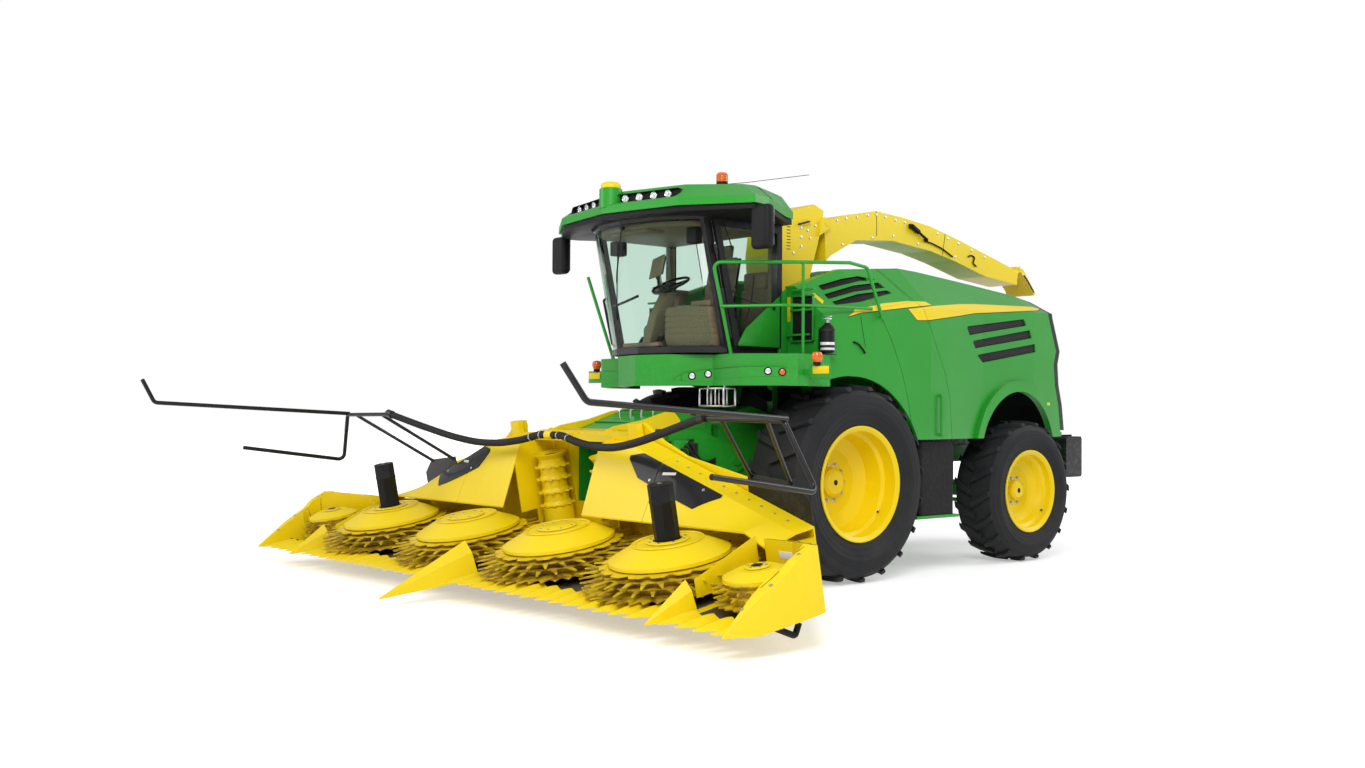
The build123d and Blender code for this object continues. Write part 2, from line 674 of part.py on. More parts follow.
mirror_low = cab_glass_top_z - 425
mirror_head = block(1490, 1660, -1470, -1390, mirror_low, mirror_low + 400)
mirrors = both(fillet(mirror_head.edges(), 30)
               + rod((1510, -1445, mirror_low + 380), (1510, -1445, cab_glass_top_z), 14))

# Brow recesses with four lamps each, and the dome's neck on the nose
brow_share = 0.42
brow_slope = 0.215
brow_y = roof_low_plan[5][1] + brow_share * (roof_high_plan[5][1] - roof_low_plan[5][1])
lamp_z = brow_z + brow_share * roof_rise
recess_face = Plane.XZ * SlotOverall(5 * lamp_pitch, 2.3 * lamp_radius)
recess_turn = degrees(atan(brow_slope))
recess_x = 60 + 2.25 * lamp_pitch
recess = Pos(recess_x, brow_y + brow_slope * recess_x + recess_depth, lamp_z) * Rot(0, 0, recess_turn) \
    * extrude(recess_face, 200)
cab_roof -= both(recess)
lamp_row = []
for index in range(4):
    x = 60 + (0.75 + index) * lamp_pitch
    lamp_y = brow_y + brow_slope * x + recess_depth
    lamp_row.append(rod((x, lamp_y - 28, lamp_z), (x, lamp_y + 30, lamp_z), lamp_radius - 5))
    for side in (-1, 1):
        cab_roof -= rod((side * x, lamp_y - 200, lamp_z), (side * x, lamp_y + 30 + seat_gap, lamp_z),
                        lamp_radius - 5 + seat_gap)
cab_roof += standing(0, -1975, brow_z - 10, 112, roof_rise + 25)
dome = standing(0, -1975, roof_high_z + 15 + seat_gap, 96, 88)
beacon = standing(900, -1330, roof_high_z + seat_gap, 62, 148)
lamps = Compound(lamp_row + [mirrored(lamp) for lamp in lamp_row] + [dome, beacon])

# Handrails: a post beside each corner of the windscreen, and the left one's rail round to the body
rail_post = [(922, -1224, 2241), (984, -1515, 3087)]
post_foot = standing(922, -1224, 2235 + seat_gap, 20, 16)
left_rail = bent_tube(rail_post + [(1400, -850, 3105), (1440, -120, 3150), (1445, 130, 3120),
                                   (1462, 340, 2615)], 17, 60)
left_rail += rod((1436, 340, 2640), (1461, 340, 2640), 14)
left_rail += rod((1407, -740, deck_z + seat_gap), (1407, -740, 3108), 15)
right_post = mirrored(rod(rail_post[0], rail_post[1], 17) + post_foot)
left_rail += post_foot
handrails = Compound([left_rail, right_post])

# Crop channel: the fixed duct under the spout, and the ring that the spout turns on
chopper_rear_y = rail_front - seat_gap
chopper = across([(chopper_rear_y, 760), (chopper_rear_y, 1640), (-500, 1740), (-900, 1640), (-960, 1250),
                  (-940, 900), (-760, 760)], -chopper_half_width, chopper_half_width)
chopper += both(rod((chopper_half_width - 5, feeder_pivot_y, feeder_pivot_z),
                    (chopper_half_width + 46, feeder_pivot_y, feeder_pivot_z), feeder_pin_radius))
for side in (-1, 1):
    for low in (lift_x - 80, lift_x + 50):
        first, last = sorted((side * low, side * (low + 30)))
        chopper += across([(barrel_pin_y - 55, barrel_pin_z - 60), (barrel_pin_y + 55, barrel_pin_z - 60),
                           (-240, 800), (-240, 900), (-560, 900)], first, last)
    first, last = sorted((side * (chopper_half_width - 10), side * (lift_x + 80)))
    chopper += block(first, last, -560, -240, 860, 900)
    chopper += rod((side * (lift_x - 85), barrel_pin_y, barrel_pin_z),
                   (side * (lift_x + 85), barrel_pin_y, barrel_pin_z), lift_pin_radius)
chopper_housing = chopper

duct_bottom = rail_high + seat_gap
crop_duct = loft([
    Plane.XY.offset(duct_bottom) * Pos(0, 120) * Rectangle(560, 460),
    Plane.XY.offset(slew_ring_z - 80) * Pos(0, slew_y) * Rectangle(400, 400),
], ruled=True)
crop_duct += standing(0, slew_y, slew_ring_z - 90, slew_ring_radius, 90)

turret_ring = standing(0, slew_y, slew_ring_z + seat_gap, slew_ring_radius - 20, 60)
elbow = across([(slew_y - 230, slew_ring_z + 50), (slew_y - 300, 3350), (slew_y - 240, 3770), (620, 3940),
                (770, 3880), (lift_hinge_y - 60, 3700), (560, 3150), (slew_y + 230, slew_ring_z + 50)],
               -240, 240)
hinge_ears = both(across([(700, 3760), (lift_hinge_y - 40, 3810), (lift_hinge_y + 45, lift_hinge_z + 45),
                          (lift_hinge_y + 45, lift_hinge_z - 45), (680, 3600)], 235, 265))
hinge_pin = rod((-270, lift_hinge_y, lift_hinge_z), (270, lift_hinge_y, lift_hinge_z), 24)
spout_turret = turret_ring + elbow + hinge_ears + hinge_pin

# Spout: a bent duct that narrows to its flap, in side view (y, z)
spout_top = [(lift_hinge_y - 25, 3775), (1160, 3880), (1660, 3975), (2120, 3945), (2620, 3890), (3140, 3780),
             (3720, 3640), (flap_hinge_y - 20, 3480)]
spout_bottom = [(flap_hinge_y - 40, 3310), (3700, 3370), (3060, 3520), (2620, 3600), (1940, 3660),
                (1320, 3610),
                (900, 3400), (lift_hinge_y + 30, 3330), (lift_hinge_y + 20, 3600)]
spout_body = across(spout_top + spout_bottom, -spout_half_width, spout_half_width)
spout_body -= rod((-300, lift_hinge_y, lift_hinge_z), (300, lift_hinge_y, lift_hinge_z), 24 + seat_gap)
flap_ears = both(across([(flap_hinge_y - 90, 3500), (flap_hinge_y + 30, flap_hinge_z + 30),
                         (flap_hinge_y + 30, flap_hinge_z - 30), (flap_hinge_y - 90, 3400)],
                        spout_half_width - 12, spout_half_width))
spout = spout_body + flap_ears
flap_half = spout_half_width - 18
spout_flap = across([(flap_hinge_y - 24, flap_hinge_z + 24), (flap_hinge_y + 120, 3520), (4620, 3400),
                     (4780, 3230), (4740, 3200), (4600, 3350), (flap_hinge_y + 90, 3470),
                     (flap_hinge_y, flap_hinge_z - 26), (flap_hinge_y - 24, flap_hinge_z - 20)],
                    -flap_half, flap_half)
flap_pin_radius = 12
spout_flap += rod((-spout_half_width - 14, flap_hinge_y, flap_hinge_z),
                  (spout_half_width + 14, flap_hinge_y, flap_hinge_z), flap_pin_radius)
spout -= rod((-300, flap_hinge_y, flap_hinge_z), (300, flap_hinge_y, flap_hinge_z),
             flap_pin_radius + seat_gap)

# Feeder housing, which swings on the chopper's pins, and its lift cylinders
feeder_half = chopper_half_width + seat_gap
feeder = across([(-985, 900), (-1010, 1600), (-1500, 1690), (feeder_front_y, 1500), (feeder_front_y, 760),
                 (-1500, 740)], -chopper_half_width + 15, chopper_half_width - 15)
feeder -= block(-375, 375, feeder_front_y - 1, feeder_front_y + 300, 800, 1460)
for side in (-1, 1):
    first, last = sorted((side * feeder_half, side * (feeder_half + 32)))
    feeder += across([(feeder_pivot_y + 90, feeder_pivot_z - 90), (feeder_pivot_y + 90, feeder_pivot_z + 90),
                      (-1200, 1500), (-1600, 1500), (-1600, 900), (-1100, 900)], first, last)
    first, last = sorted((side * (chopper_half_width - 20), side * (feeder_half + 10)))
    feeder += block(first, last, -1560, -1240, 950, 1460)
    for low in (lift_x - 80, lift_x + 50):
        first, last = sorted((side * low, side * (low + 30)))
        feeder += across([(rod_pin_y - 55, rod_pin_z - 50), (rod_pin_y + 55, rod_pin_z - 50),
                          (rod_pin_y + 130, 960), (rod_pin_y - 130, 960)], first, last)
    first, last = sorted((side * (chopper_half_width - 20), side * (lift_x + 80)))
    feeder += block(first, last, rod_pin_y - 130, rod_pin_y + 130, 900, 960)
    feeder += rod((side * (lift_x - 85), rod_pin_y, rod_pin_z), (side * (lift_x + 85), rod_pin_y, rod_pin_z),
                  lift_pin_radius)
feeder -= rod((-500, feeder_pivot_y, feeder_pivot_z), (500, feeder_pivot_y, feeder_pivot_z),
              feeder_pin_radius + seat_gap)
feeder_housing = feeder

lift_start = Vector(0, barrel_pin_y, barrel_pin_z)
lift_end = Vector(0, rod_pin_y, rod_pin_z)
lift_way = (lift_end - lift_start).normalized()
stroke_end = lift_start + lift_way * 760


def at_x(x, point):
    return (x, point.Y, point.Z)


barrel = rod(at_x(lift_x, lift_start + lift_way * 20), at_x(lift_x, stroke_end), 42)
barrel += rod((lift_x - 49.7, barrel_pin_y, barrel_pin_z), (lift_x + 49.7, barrel_pin_y, barrel_pin_z), 52)
barrel -= rod((lift_x - 60, barrel_pin_y, barrel_pin_z), (lift_x + 60, barrel_pin_y, barrel_pin_z),
              lift_pin_radius + seat_gap)
barrel -= rod(at_x(lift_x, lift_start + lift_way * 90), at_x(lift_x, stroke_end + lift_way * 5),
              26 + seat_gap)
piston = rod(at_x(lift_x, lift_start + lift_way * 480), at_x(lift_x, lift_end - lift_way * 40), 26)
piston += rod((lift_x - 49, rod_pin_y, rod_pin_z), (lift_x + 49, rod_pin_y, rod_pin_z), 50)
piston -= rod((lift_x - 60, rod_pin_y, rod_pin_z), (lift_x + 60, rod_pin_y, rod_pin_z), lift_pin_radius + 8)
lift_barrels = both(barrel)
lift_rods = both(piston)


# Header, in its own flat frame: x across, y back, z up along the rotors' axes

def place(shape):
    """From the header's flat frame to the machine's."""
    return Pos(0, header_y, header_z) * Rot(header_tilt, 0, 0) * shape


def turned_up(outline):
    """Ring from an (radius, z) outline, turned about Z."""
    return revolve(Plane.XZ * flat(outline), axis=Axis.Z)


# Tiers round a rotor: height, root and tip as shares of its radius, teeth on a large rotor,
# and how far round its pitch a tooth starts, leans and ends
rotor_tiers = [
    (-150, 0.690, 0.775, 18, 0.0, 0.25, 0.75, 0.97),
    (-190, 0.767, 1.000, 28, 0.0, 0.42, 0.53, 0.42),
    (-245, 0.767, 1.000, 28, 0.5, 0.42, 0.53, 0.42),
    (-305, 0.877, 0.986, 40, 0.0, 0.45, 0.55, 0.90),
]


def toothed(root, tip, teeth, z, height, start, lean, crest, foot):
    """Flat ring of swept teeth."""
    outline = []
    step = 2 * pi / teeth
    for index in range(teeth):
        for radius, share in ((root, 0), (tip, lean), (tip, crest), (root, foot)):
            angle = step * (index + start + share)
            outline.append((radius * cos(angle), radius * sin(angle)))
    return upright(outline, z, z + height)


def rotor(radius, cap_radius, cap_flat, cap_z, cap_drop):
    """Hollow rotor: a domed cap on a drum, toothed tiers round it, and a hub on a bottom plate."""
    low = cap_z - cap_drop
    wall = rotor_sheet
    cap = turned_up([(0, cap_z), (cap_flat, cap_z), (cap_radius, low), (cap_radius, low - 28),
                     (cap_radius - wall, low - 28), (cap_radius - wall, low - wall / 2),
                     (cap_flat - 3, cap_z - wall), (0, cap_z - wall)])
    drum = cap_radius - 30
    drum_high = cap_z - cap_drop * (drum - cap_flat) / (cap_radius - cap_flat) - wall / 2
    body = cap + turned_up([(drum - wall, rotor_bottom), (drum, rotor_bottom), (drum, drum_high),
                            (drum - wall, drum_high)])
    core = Pos(0, 0, rotor_bottom) * Cylinder(drum - wall / 2, 600)
    tiers = []
    for z, root, tip, teeth, start, lean, crest, foot in rotor_tiers:
        count = round(teeth * (0.3 + 0.7 * radius / rotor_radius))
        tiers.append(toothed(root * radius, tip * radius, count, z, disc_thickness, start, lean, crest, foot)
                     - core)
    body += tiers
    bore = rotor_shaft_radius + seat_gap
    body += turned_up([(bore, rotor_bottom), (drum, rotor_bottom), (drum, rotor_bottom + wall),
                       (bore, rotor_bottom + wall)])
    body += turned_up([(bore, rotor_bottom), (bore + 32, rotor_bottom), (bore + 32, hub_top), (0, hub_top),
                       (0, hub_top - 14), (bore, hub_top - 14)])
    return body


shaft = standing(0, 0, floor_top - 1, rotor_shaft_radius, hub_top - 30 - floor_top)
inner_x = rotor_pitch / 2
outer_x = rotor_pitch * 1.5
rotor_inner = rotor(rotor_radius, rotor_cap_radius, rotor_cap_flat, 0, 100)
rotor_outer = rotor_inner + extrude(RegularPolygon(post_radius, 8), post_height)
small_rotor = rotor(small_rotor_radius, small_cap_radius, small_cap_flat, small_cap_z, 45)

drum_bore = rotor_shaft_radius + seat_gap
drum_waist = drum_radius - 26
drum_inner = drum_radius - 38
drum_levels = [-60, 70, 200, 320]
drum_outline = [(drum_bore, rotor_bottom), (drum_radius, rotor_bottom), (drum_radius, -84)]
for z in drum_levels:
    drum_outline += [(drum_waist, z - 6), (drum_radius - 8, z), (drum_radius - 8, z + 14),
                     (drum_waist, z + 44)]
drum_outline += [(drum_waist, drum_top - 56), (drum_radius + 10, drum_top - 8), (drum_radius + 10, drum_top),
                 (drum_radius - 2, drum_top), (drum_inner, drum_top - 40), (0, drum_top - 40),
                 (0, drum_top - 54), (drum_inner, drum_top - 54), (drum_inner, hub_top), (0, hub_top),
                 (0, hub_top - 14), (drum_bore, hub_top - 14)]
feed_drum = turned_up(drum_outline)
drum_core = Pos(0, 0, 100) * Cylinder(drum_waist - 6, 900)
feed_drum += [toothed(drum_waist + 4, drum_tip_radius, 12, z, 12, 0, 0.4, 0.6, 0.8) - drum_core
              for z in drum_levels]


floor_low = floor_top - floor_thickness


def ridge_z(x):
    """Height of the hood's ridge, which is level beside the throat and then falls outward."""
    return min(ridge_high, ridge_high - ridge_slope * (x - ridge_start))


def front_edge_z(x):
    """Height of the hood's front edge, which drops beside the outer end."""
    return hood_low - max(0, x - end_seam + 236) * 0.5


def hood_form(x0, x1):
    """Solid under the hood's outer faces."""
    faces = []
    for x in (x0, x1):
        faces.append(Plane.YZ.offset(x) * flat([
            (hood_front, front_edge_z(x)), (ridge_front, ridge_z(x)), (header_rear, ridge_z(x)),
            (header_rear, floor_low), (hood_front, floor_low)]))
    return loft(faces, ruled=True)


def hood(x0, x1):
    """Sheet-metal hood from its front edge over the rotors, up to the ridge and down to the floor."""
    faces = []
    for x in (x0, x1):
        edge, top = front_edge_z(x) - hood_wall, ridge_z(x) - hood_wall
        faces.append(Plane.YZ.offset(x) * flat([
            (hood_front - 60, edge), (hood_front, edge), (ridge_front + hood_wall / 2, top),
            (header_rear - hood_wall, top), (header_rear - hood_wall, floor_low - 10),
            (hood_front - 60, floor_low - 10)]))
    return hood_form(x0, x1) - loft(faces, ruled=True)


def ridge_cover(stations):
    """Plate that beds on the hood's front slope: x, and its edges' distances down from the ridge."""
    faces = []
    for x, near, far in stations:
        rise = ridge_z(x) - hood_low
        run = ridge_front - hood_front
        down = Vector(-run, -rise).normalized()
        out = Vector(-rise, run).normalized()
        ridge = Vector(ridge_front, ridge_z(x))
        corners = [ridge + down * near + out * cover_root, ridge + down * near + out * cover_thickness,
                   ridge + down * far + out * cover_thickness, ridge + down * far + out * cover_root]
        faces.append(Plane.YZ.offset(x) * flat([(c.X, c.Y) for c in corners]))
    bed = hood_form(stations[0][0] - 5, stations[-1][0] + 5)
    return loft(faces, ruled=True) - Pos(0, -seat_gap, seat_gap) * bed


def outline_at(x, y, z, half):
    """Face across the header from the right half of an outline about (x, z)."""
    plane = Plane(origin=(x, y, z), x_dir=(1, 0, 0), z_dir=(0, -1, 0))
    return plane * flat(half + [(-u, w) for u, w in reversed(half) if u])


def finger(x):
    """Pointed guard on the floor's front edge."""
    base = outline_at(x, finger_tip_y + finger_length + 40, floor_top - floor_thickness,
                      [(68, 0), (52, 46), (0, 74)])
    tip = outline_at(x, finger_tip_y, floor_top + 60, [(5, 0), (5, 5), (0, 8)])
    return loft([base, tip], ruled=True)


def divider(x, tip_y, base_y, width, height):
    """Long pointed cover that parts the rows."""
    base = outline_at(x, base_y, floor_top, [(width / 2, 0), (width * 0.3, height * 0.7), (0, height)])
    tip = outline_at(x, tip_y, floor_top + 40, [(8, 0), (6, 8), (0, 12)])
    return loft([base, tip], ruled=True)


def floor_between(x0, x1):
    return block(x0, x1, floor_front, header_rear, floor_top - floor_thickness, floor_top)


centre_edge = fold_plane - fold_gap / 2
wing_edge = fold_plane + fold_gap / 2

header_frame = floor_between(-centre_edge, centre_edge)
throat_wall = throat_half + 16
header_frame += block(-throat_wall, throat_wall, header_rear - 1, throat_rear, floor_low, floor_top)
header_frame += both(block(throat_wall - 1, centre_edge, header_rear - 80, header_rear, floor_low,
                           floor_top + 90))
centre_hood = hood(throat_half, ridge_start) + hood(ridge_start, centre_edge)
header_frame += centre_hood + mirrored(centre_hood)
header_frame += both(across([(745, floor_top - 1), (throat_rear, floor_top - 1), (throat_rear, throat_top),
                             (660, ridge_high - 1), (560, 400), (560, -90), (745, -90)],
                            throat_half, throat_wall))
header_frame += both(Pos(inner_x, 0, 0) * shaft + Pos(drum_x, drum_y, 0) * shaft)
header_frame += block(-960, 960, 820, header_rear, ridge_high - 15, ridge_high + 50)
header_frame += block(-throat_wall, throat_wall, header_rear - 1, 960, ridge_high - 15, throat_top)


def to_header(y, z):
    """Side-view point of the machine, in the header's flat frame."""
    tilt = radians(header_tilt)
    dy, dz = y - header_y, z - header_z
    return (dy * cos(tilt) + dz * sin(tilt), dz * cos(tilt) - dy * sin(tilt))


# Back plate of the throat with a wedge that meets the feeder's upright face
header_frame += block(-throat_wall, throat_wall, throat_rear - 14, throat_rear, floor_low, throat_top)
feeder_face = feeder_front_y - seat_gap
header_frame += across([to_header(-2201, 1500), to_header(feeder_face, 1500), to_header(feeder_face, 762),
                        to_header(-2064, 762)], -420, 420)
header_frame -= across([to_header(-2216, 1460), to_header(-2000, 1460), to_header(-2000, 800),
                        to_header(-2216, 800)], -375, 375)
hook_side = [(-2340, 1440), (-2350, 1500), (-2250, 1540), (-1900, 1600), (-1620, 1680), (-1540, 1690),
             (-1450, 1600), (-1450, 1512), (-1900, 1512), (-2150, 1505), (-2203, 1490), (-2260, 1440)]
hook_boss = to_header(-1800, 1540)
for side in (-1, 1):
    first, last = sorted((side * 425, side * 445))
    header_frame += across([to_header(y, z) for y, z in hook_side], first, last)
    header_frame += rod((side * 418, *hook_boss), (side * 458, *hook_boss), 45)
for index in range(-7, 8):
    x = index * finger_pitch
    if index and abs(x) < centre_edge - 80:
        header_frame += finger(x)
header_frame += divider(0, -1395, -490, 300, 330)

wing = floor_between(wing_edge, end_seam + 604)
wing -= upright([(end_seam + 4, header_rear + 1), (end_seam + 614, header_rear - 609),
                 (end_seam + 614, header_rear + 1)], floor_low - 1, floor_top + 1)
wing += hood(wing_edge, end_seam - 236) + hood(end_seam - 236, end_seam + 4)
wing += Pos(outer_x, 0, 0) * shaft
wing += Pos(small_rotor_x, small_rotor_y, 0) * shaft
divider_x = end_seam - 56
end_plan = []
for inset, y in ((834, 880), (0, 55), (0, -100), (40, -500), (76, -860), (84, -860), (130, -500), (170, -200),
                 (270, 200), (530, 330), (834, 330)):
    end_plan.append((header_half_width - inset, y))
end_side = across([(-860, -325), (-500, -140), (-260, -50), (-157, 20), (35, 83), (660, -110), (890, -130),
                   (890, floor_low), (-560, floor_low), (-860, -335)], end_seam - 96, header_half_width + 70)
end_body = upright(end_plan, -450, 200) & end_side
end_body -= Pos(small_rotor_x, small_rotor_y, 0) * Cylinder(small_rotor_radius + 22, 780)
end_body += block(end_seam + 4, end_seam + 604, 300, 900, floor_top - 20, floor_top) & end_side \
    & upright(end_plan[:2] + end_plan[-2:], -450, 200)
end_body -= Pos(outer_x, 0, 0) * Cylinder(rotor_radius + 22, 780)
end_body += bent_tube([(header_half_width - 130, -520, -340), (header_half_width - 130, -327, -424),
                       (header_half_width - 130, -149, -533), (header_half_width - 130, -94, -454)], 22, 26)
wing += end_body
for index in range(8, 20):
    x = index * finger_pitch + 20
    if x < header_half_width - 190 and abs(x - divider_x) > 80:
        wing += finger(x)
wing += divider(divider_x, -864, -440, 190, 260)

# Fold hinge: a plate behind the wing's hood reaches in to a pin on the centre's bracket
arm_front = header_rear + 14
arm_back = arm_front + 40
fold_arm = along([(fold_hinge_x - 55, fold_hinge_z - 55), (1150, 500), (wing_edge + 40, 330),
                  (wing_edge + 40, 60), (wing_edge + 420, 60), (wing_edge + 420, 200), (end_seam - 296, 150),
                  (end_seam - 136, 195), (end_seam - 296, 215), (wing_edge + 40, 460), (1250, 590),
                  (fold_hinge_x + 55, fold_hinge_z + 55), (fold_hinge_x - 55, fold_hinge_z + 55)],
                 arm_front, arm_back)
fold_arm -= rod((fold_hinge_x, arm_front - 5, fold_hinge_z), (fold_hinge_x, arm_back + 5, fold_hinge_z),
                fold_pin_radius + seat_gap)
spacer = block(wing_edge + 80, wing_edge + 380, header_rear - 1, arm_front + 1, 90, 190)
wing += fold_arm + spacer
for side in (-1, 1):
    first, last = sorted((side * (fold_hinge_x - 70), side * (fold_hinge_x + 70)))
    header_frame += block(first, last, header_rear - 60, header_rear, ridge_high - 10, fold_hinge_z + 60)
    header_frame += rod((side * fold_hinge_x, header_rear - 20, fold_hinge_z),
                        (side * fold_hinge_x, arm_back + 14, fold_hinge_z), fold_pin_radius)
    header_frame += rod((side * fold_hinge_x, arm_back + seat_gap, fold_hinge_z),
                        (side * fold_hinge_x, arm_back + 14, fold_hinge_z), fold_pin_radius + 14)

# Black covers on the ridge: one on the centre and one on the wing, split at the fold
centre_cover = ridge_cover([(1135, 90, 120), (1210, 50, 178), (1290, 10, 235), (centre_edge, 10, 238)])
wing_cover = ridge_cover([(wing_edge, 10, 238), (1680, 10, 240), (1860, 10, 243), (2030, 10, 245),
                          (2130, 10, 142), (2230, 10, 40)])

# Flexible guide hoses from a sleeve over the throat to each wing's tube
sleeve_z = 690
sleeve_y = 577
sleeve_half = 50
header_frame += block(-30, 30, sleeve_y + 20, header_rear, sleeve_z - 45, sleeve_z - 15)
header_frame += rod((-sleeve_half, sleeve_y, sleeve_z), (sleeve_half, sleeve_y, sleeve_z), hose_radius + 6)
hose_end = (end_seam - 495, 307, 921)
hose_route = [(sleeve_half + seat_gap, sleeve_y, sleeve_z), (190, sleeve_y, sleeve_z), (420, 552, 642),
              (760, 508, 608), (1120, 462, 618), (1540, 405, 690), (2000, 350, 800),
              (hose_end[0] - 30, 307, 915)]


def run_radii(points):
    """Largest arcs that neighbouring runs leave room for."""
    ways = [Vector(*b) - Vector(*a) for a, b in zip(points, points[1:])]
    radii = []
    for before, after in zip(ways, ways[1:]):
        turn = radians(before.get_angle(after))
        radii.append(0.45 * min(before.length, after.length) / tan(turn / 2))
    return radii


hose_radii = run_radii(hose_route)
hose_path = FilletPolyline(*hose_route, radius=hose_radii)
hose = sweep(Plane(origin=hose_path @ 0, z_dir=hose_path % 0) * Circle(hose_radius), path=hose_path)
hose_left = place(hose)

# Guide bars on the wing: a bent tube, a long push bar, two legs and the shield that they stand on
guide_corner = (header_half_width - 394, 273, 917)
guide_tube = bent_tube([hose_end, guide_corner, (header_half_width - 143, 261, 400),
                         (header_half_width - 20, -813, 754)], guide_tube_radius, 60)
push_bar = bent_tube([(header_half_width - 390, 300, 925), (header_half_width - 71, -1681, 1407),
                      (header_half_width - 125, -1779, 1664)], guide_tube_radius, 60)
shield_y = header_rear + seat_gap
shield_in = end_seam - 706
shield_out = end_seam - 6
shield = along([(shield_in, ridge_z(shield_in) - 60), (shield_out, ridge_z(shield_out) - 60),
                (shield_out, 150), (shield_out - 170, 300), (shield_in + 20, 350)],
               shield_y, shield_y + 12)
leg_in = rod((end_seam - 282, 320, 905), (shield_in + 55, shield_y + 6, 320), 17)
leg_out = rod((end_seam + 248, 290, 905), (shield_out - 197, shield_y + 6, 285), 17)
sleeve_start = hose_path @ 1 + hose_path % 1 * seat_gap
hose_sleeve = rod(sleeve_start, sleeve_start + hose_path % 1 * 80, hose_radius + 6)
guide_bar = guide_tube + push_bar + leg_in + leg_out + shield + hose_sleeve
guide_bar_left = place(Compound([guide_bar, wing_cover]))

wing_left = place(wing)
wing_right = mirrored(wing_left)
header_frame = place(header_frame)
ridge_covers = place(both(centre_cover))


# Saving: the middle of the machine's length becomes the origin

nodes = {
    "front_tyre_left": front_tyre,
    "front_tyre_right": mirrored(front_tyre),
    "front_rim_left": front_rim,
    "front_rim_right": mirrored(front_rim),
    "rear_tyre_left": rear_tyre,
    "rear_tyre_right": mirrored(rear_tyre),
    "rear_rim_left": rear_rim,
    "rear_rim_right": mirrored(rear_rim),
    "front_axle": front_axle,
    "rear_axle": rear_axle,
    "knuckle_left": knuckle,
    "knuckle_right": mirrored(knuckle),
    "tie_rod": tie_rod,
    "main_frame": main_frame,
    "side_tanks": side_tanks,
    "engine_block": engine_block,
    "rear_hitch": rear_hitch,
    "hood_top": hood_top,
    "front_panels": front_panels,
    "mid_panels": mid_panels,
    "rear_panel_left": rear_panel_left,
    "rear_panel_right": rear_panel_right,
    "rear_cover": rear_cover,
    "platform": platform,
    "fascia": fascia,
    "cab_frame": cab_frame,
    "cab_glass": cab_glass,
    "cab_door": cab_door,
    "door_glass": door_glass,
    "cab_roof": cab_roof,
    "driver_seat": driver_seat,
    "console": console,
    "mirrors": mirrors,
    "handrails": handrails,
    "lamps": lamps,
    "chopper_housing": chopper_housing,
    "crop_duct": crop_duct,
    "spout_turret": spout_turret,
    "spout": spout,
    "spout_flap": spout_flap,
    "feeder_housing": feeder_housing,
    "lift_barrels": lift_barrels,
    "lift_rods": lift_rods,
    "header_frame": header_frame,
    "ridge_covers": ridge_covers,
    "wing_left": wing_left,
    "wing_right": wing_right,
    "guide_bar_left": guide_bar_left,
    "guide_bar_right": mirrored(guide_bar_left),
    "hose_left": hose_left,
    "hose_right": mirrored(hose_left),
}
for name, side in (("left", 1), ("right", -1)):
    nodes["rotor_inner_" + name] = place(Pos(side * inner_x, 0, 0) * rotor_inner)
    nodes["rotor_outer_" + name] = place(Pos(side * outer_x, 0, 0) * rotor_outer)
    nodes["rotor_small_" + name] = place(Pos(side * small_rotor_x, small_rotor_y, 0) * small_rotor)
    nodes["feed_drum_" + name] = place(Pos(side * drum_x, drum_y, 0) * feed_drum)

reach_front = guide_bar_left.bounding_box().min.Y
reach_rear = rear_hitch.bounding_box().max.Y
middle_y = round((reach_front + reach_rear) / 2, 2)
print("middle", middle_y)
os.makedirs("parts", exist_ok=True)
for name, shape in nodes.items():
    export_step(Pos(0, -middle_y, 0) * shape, f"parts/{name}.step")
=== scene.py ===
import json
import math

import bmesh
import bpy
from mathutils import Matrix, Vector
from mathutils.bvhtree import BVHTree


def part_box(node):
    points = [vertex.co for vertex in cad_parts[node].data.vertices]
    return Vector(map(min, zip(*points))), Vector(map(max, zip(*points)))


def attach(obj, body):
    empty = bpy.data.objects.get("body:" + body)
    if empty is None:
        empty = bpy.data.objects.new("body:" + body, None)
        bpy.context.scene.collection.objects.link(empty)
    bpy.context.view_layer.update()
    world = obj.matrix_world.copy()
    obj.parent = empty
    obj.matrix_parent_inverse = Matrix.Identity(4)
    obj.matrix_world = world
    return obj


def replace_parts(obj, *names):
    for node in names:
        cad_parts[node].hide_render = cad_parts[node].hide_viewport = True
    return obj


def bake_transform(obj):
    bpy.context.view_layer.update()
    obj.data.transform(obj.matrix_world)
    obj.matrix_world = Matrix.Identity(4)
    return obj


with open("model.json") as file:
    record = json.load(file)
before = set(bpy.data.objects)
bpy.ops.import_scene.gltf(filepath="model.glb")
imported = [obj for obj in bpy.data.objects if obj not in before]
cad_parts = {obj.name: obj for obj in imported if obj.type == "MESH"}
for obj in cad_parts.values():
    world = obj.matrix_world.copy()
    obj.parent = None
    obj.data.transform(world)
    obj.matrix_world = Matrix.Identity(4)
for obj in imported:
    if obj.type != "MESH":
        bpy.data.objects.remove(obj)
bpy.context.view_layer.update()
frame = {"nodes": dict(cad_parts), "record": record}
nodes = frame["nodes"]
scene = bpy.context.scene

# the machine's left is +X, its front is -Y; everything here is in metres
machine = {
    "middle": 0.04248,  # how far the saved frame lies behind the front axle's frame
    "headerPlace": Vector((0, -3.15248, 0.669)),
    "headerTilt": math.radians(10.7),
}
toLeft, toBack, toTop = Vector((1, 0, 0)), Vector((0, 1, 0)), Vector((0, 0, 1))

# camera, backdrop and lamps

cameraView = {
    "place": (10.305, -9.9035, 1.692),
    "heading": 139.4405,
    "tilt": 1.1318,
    "roll": 0.3524,
    "lens": 35.206,
    "sensor": 36.0,
}


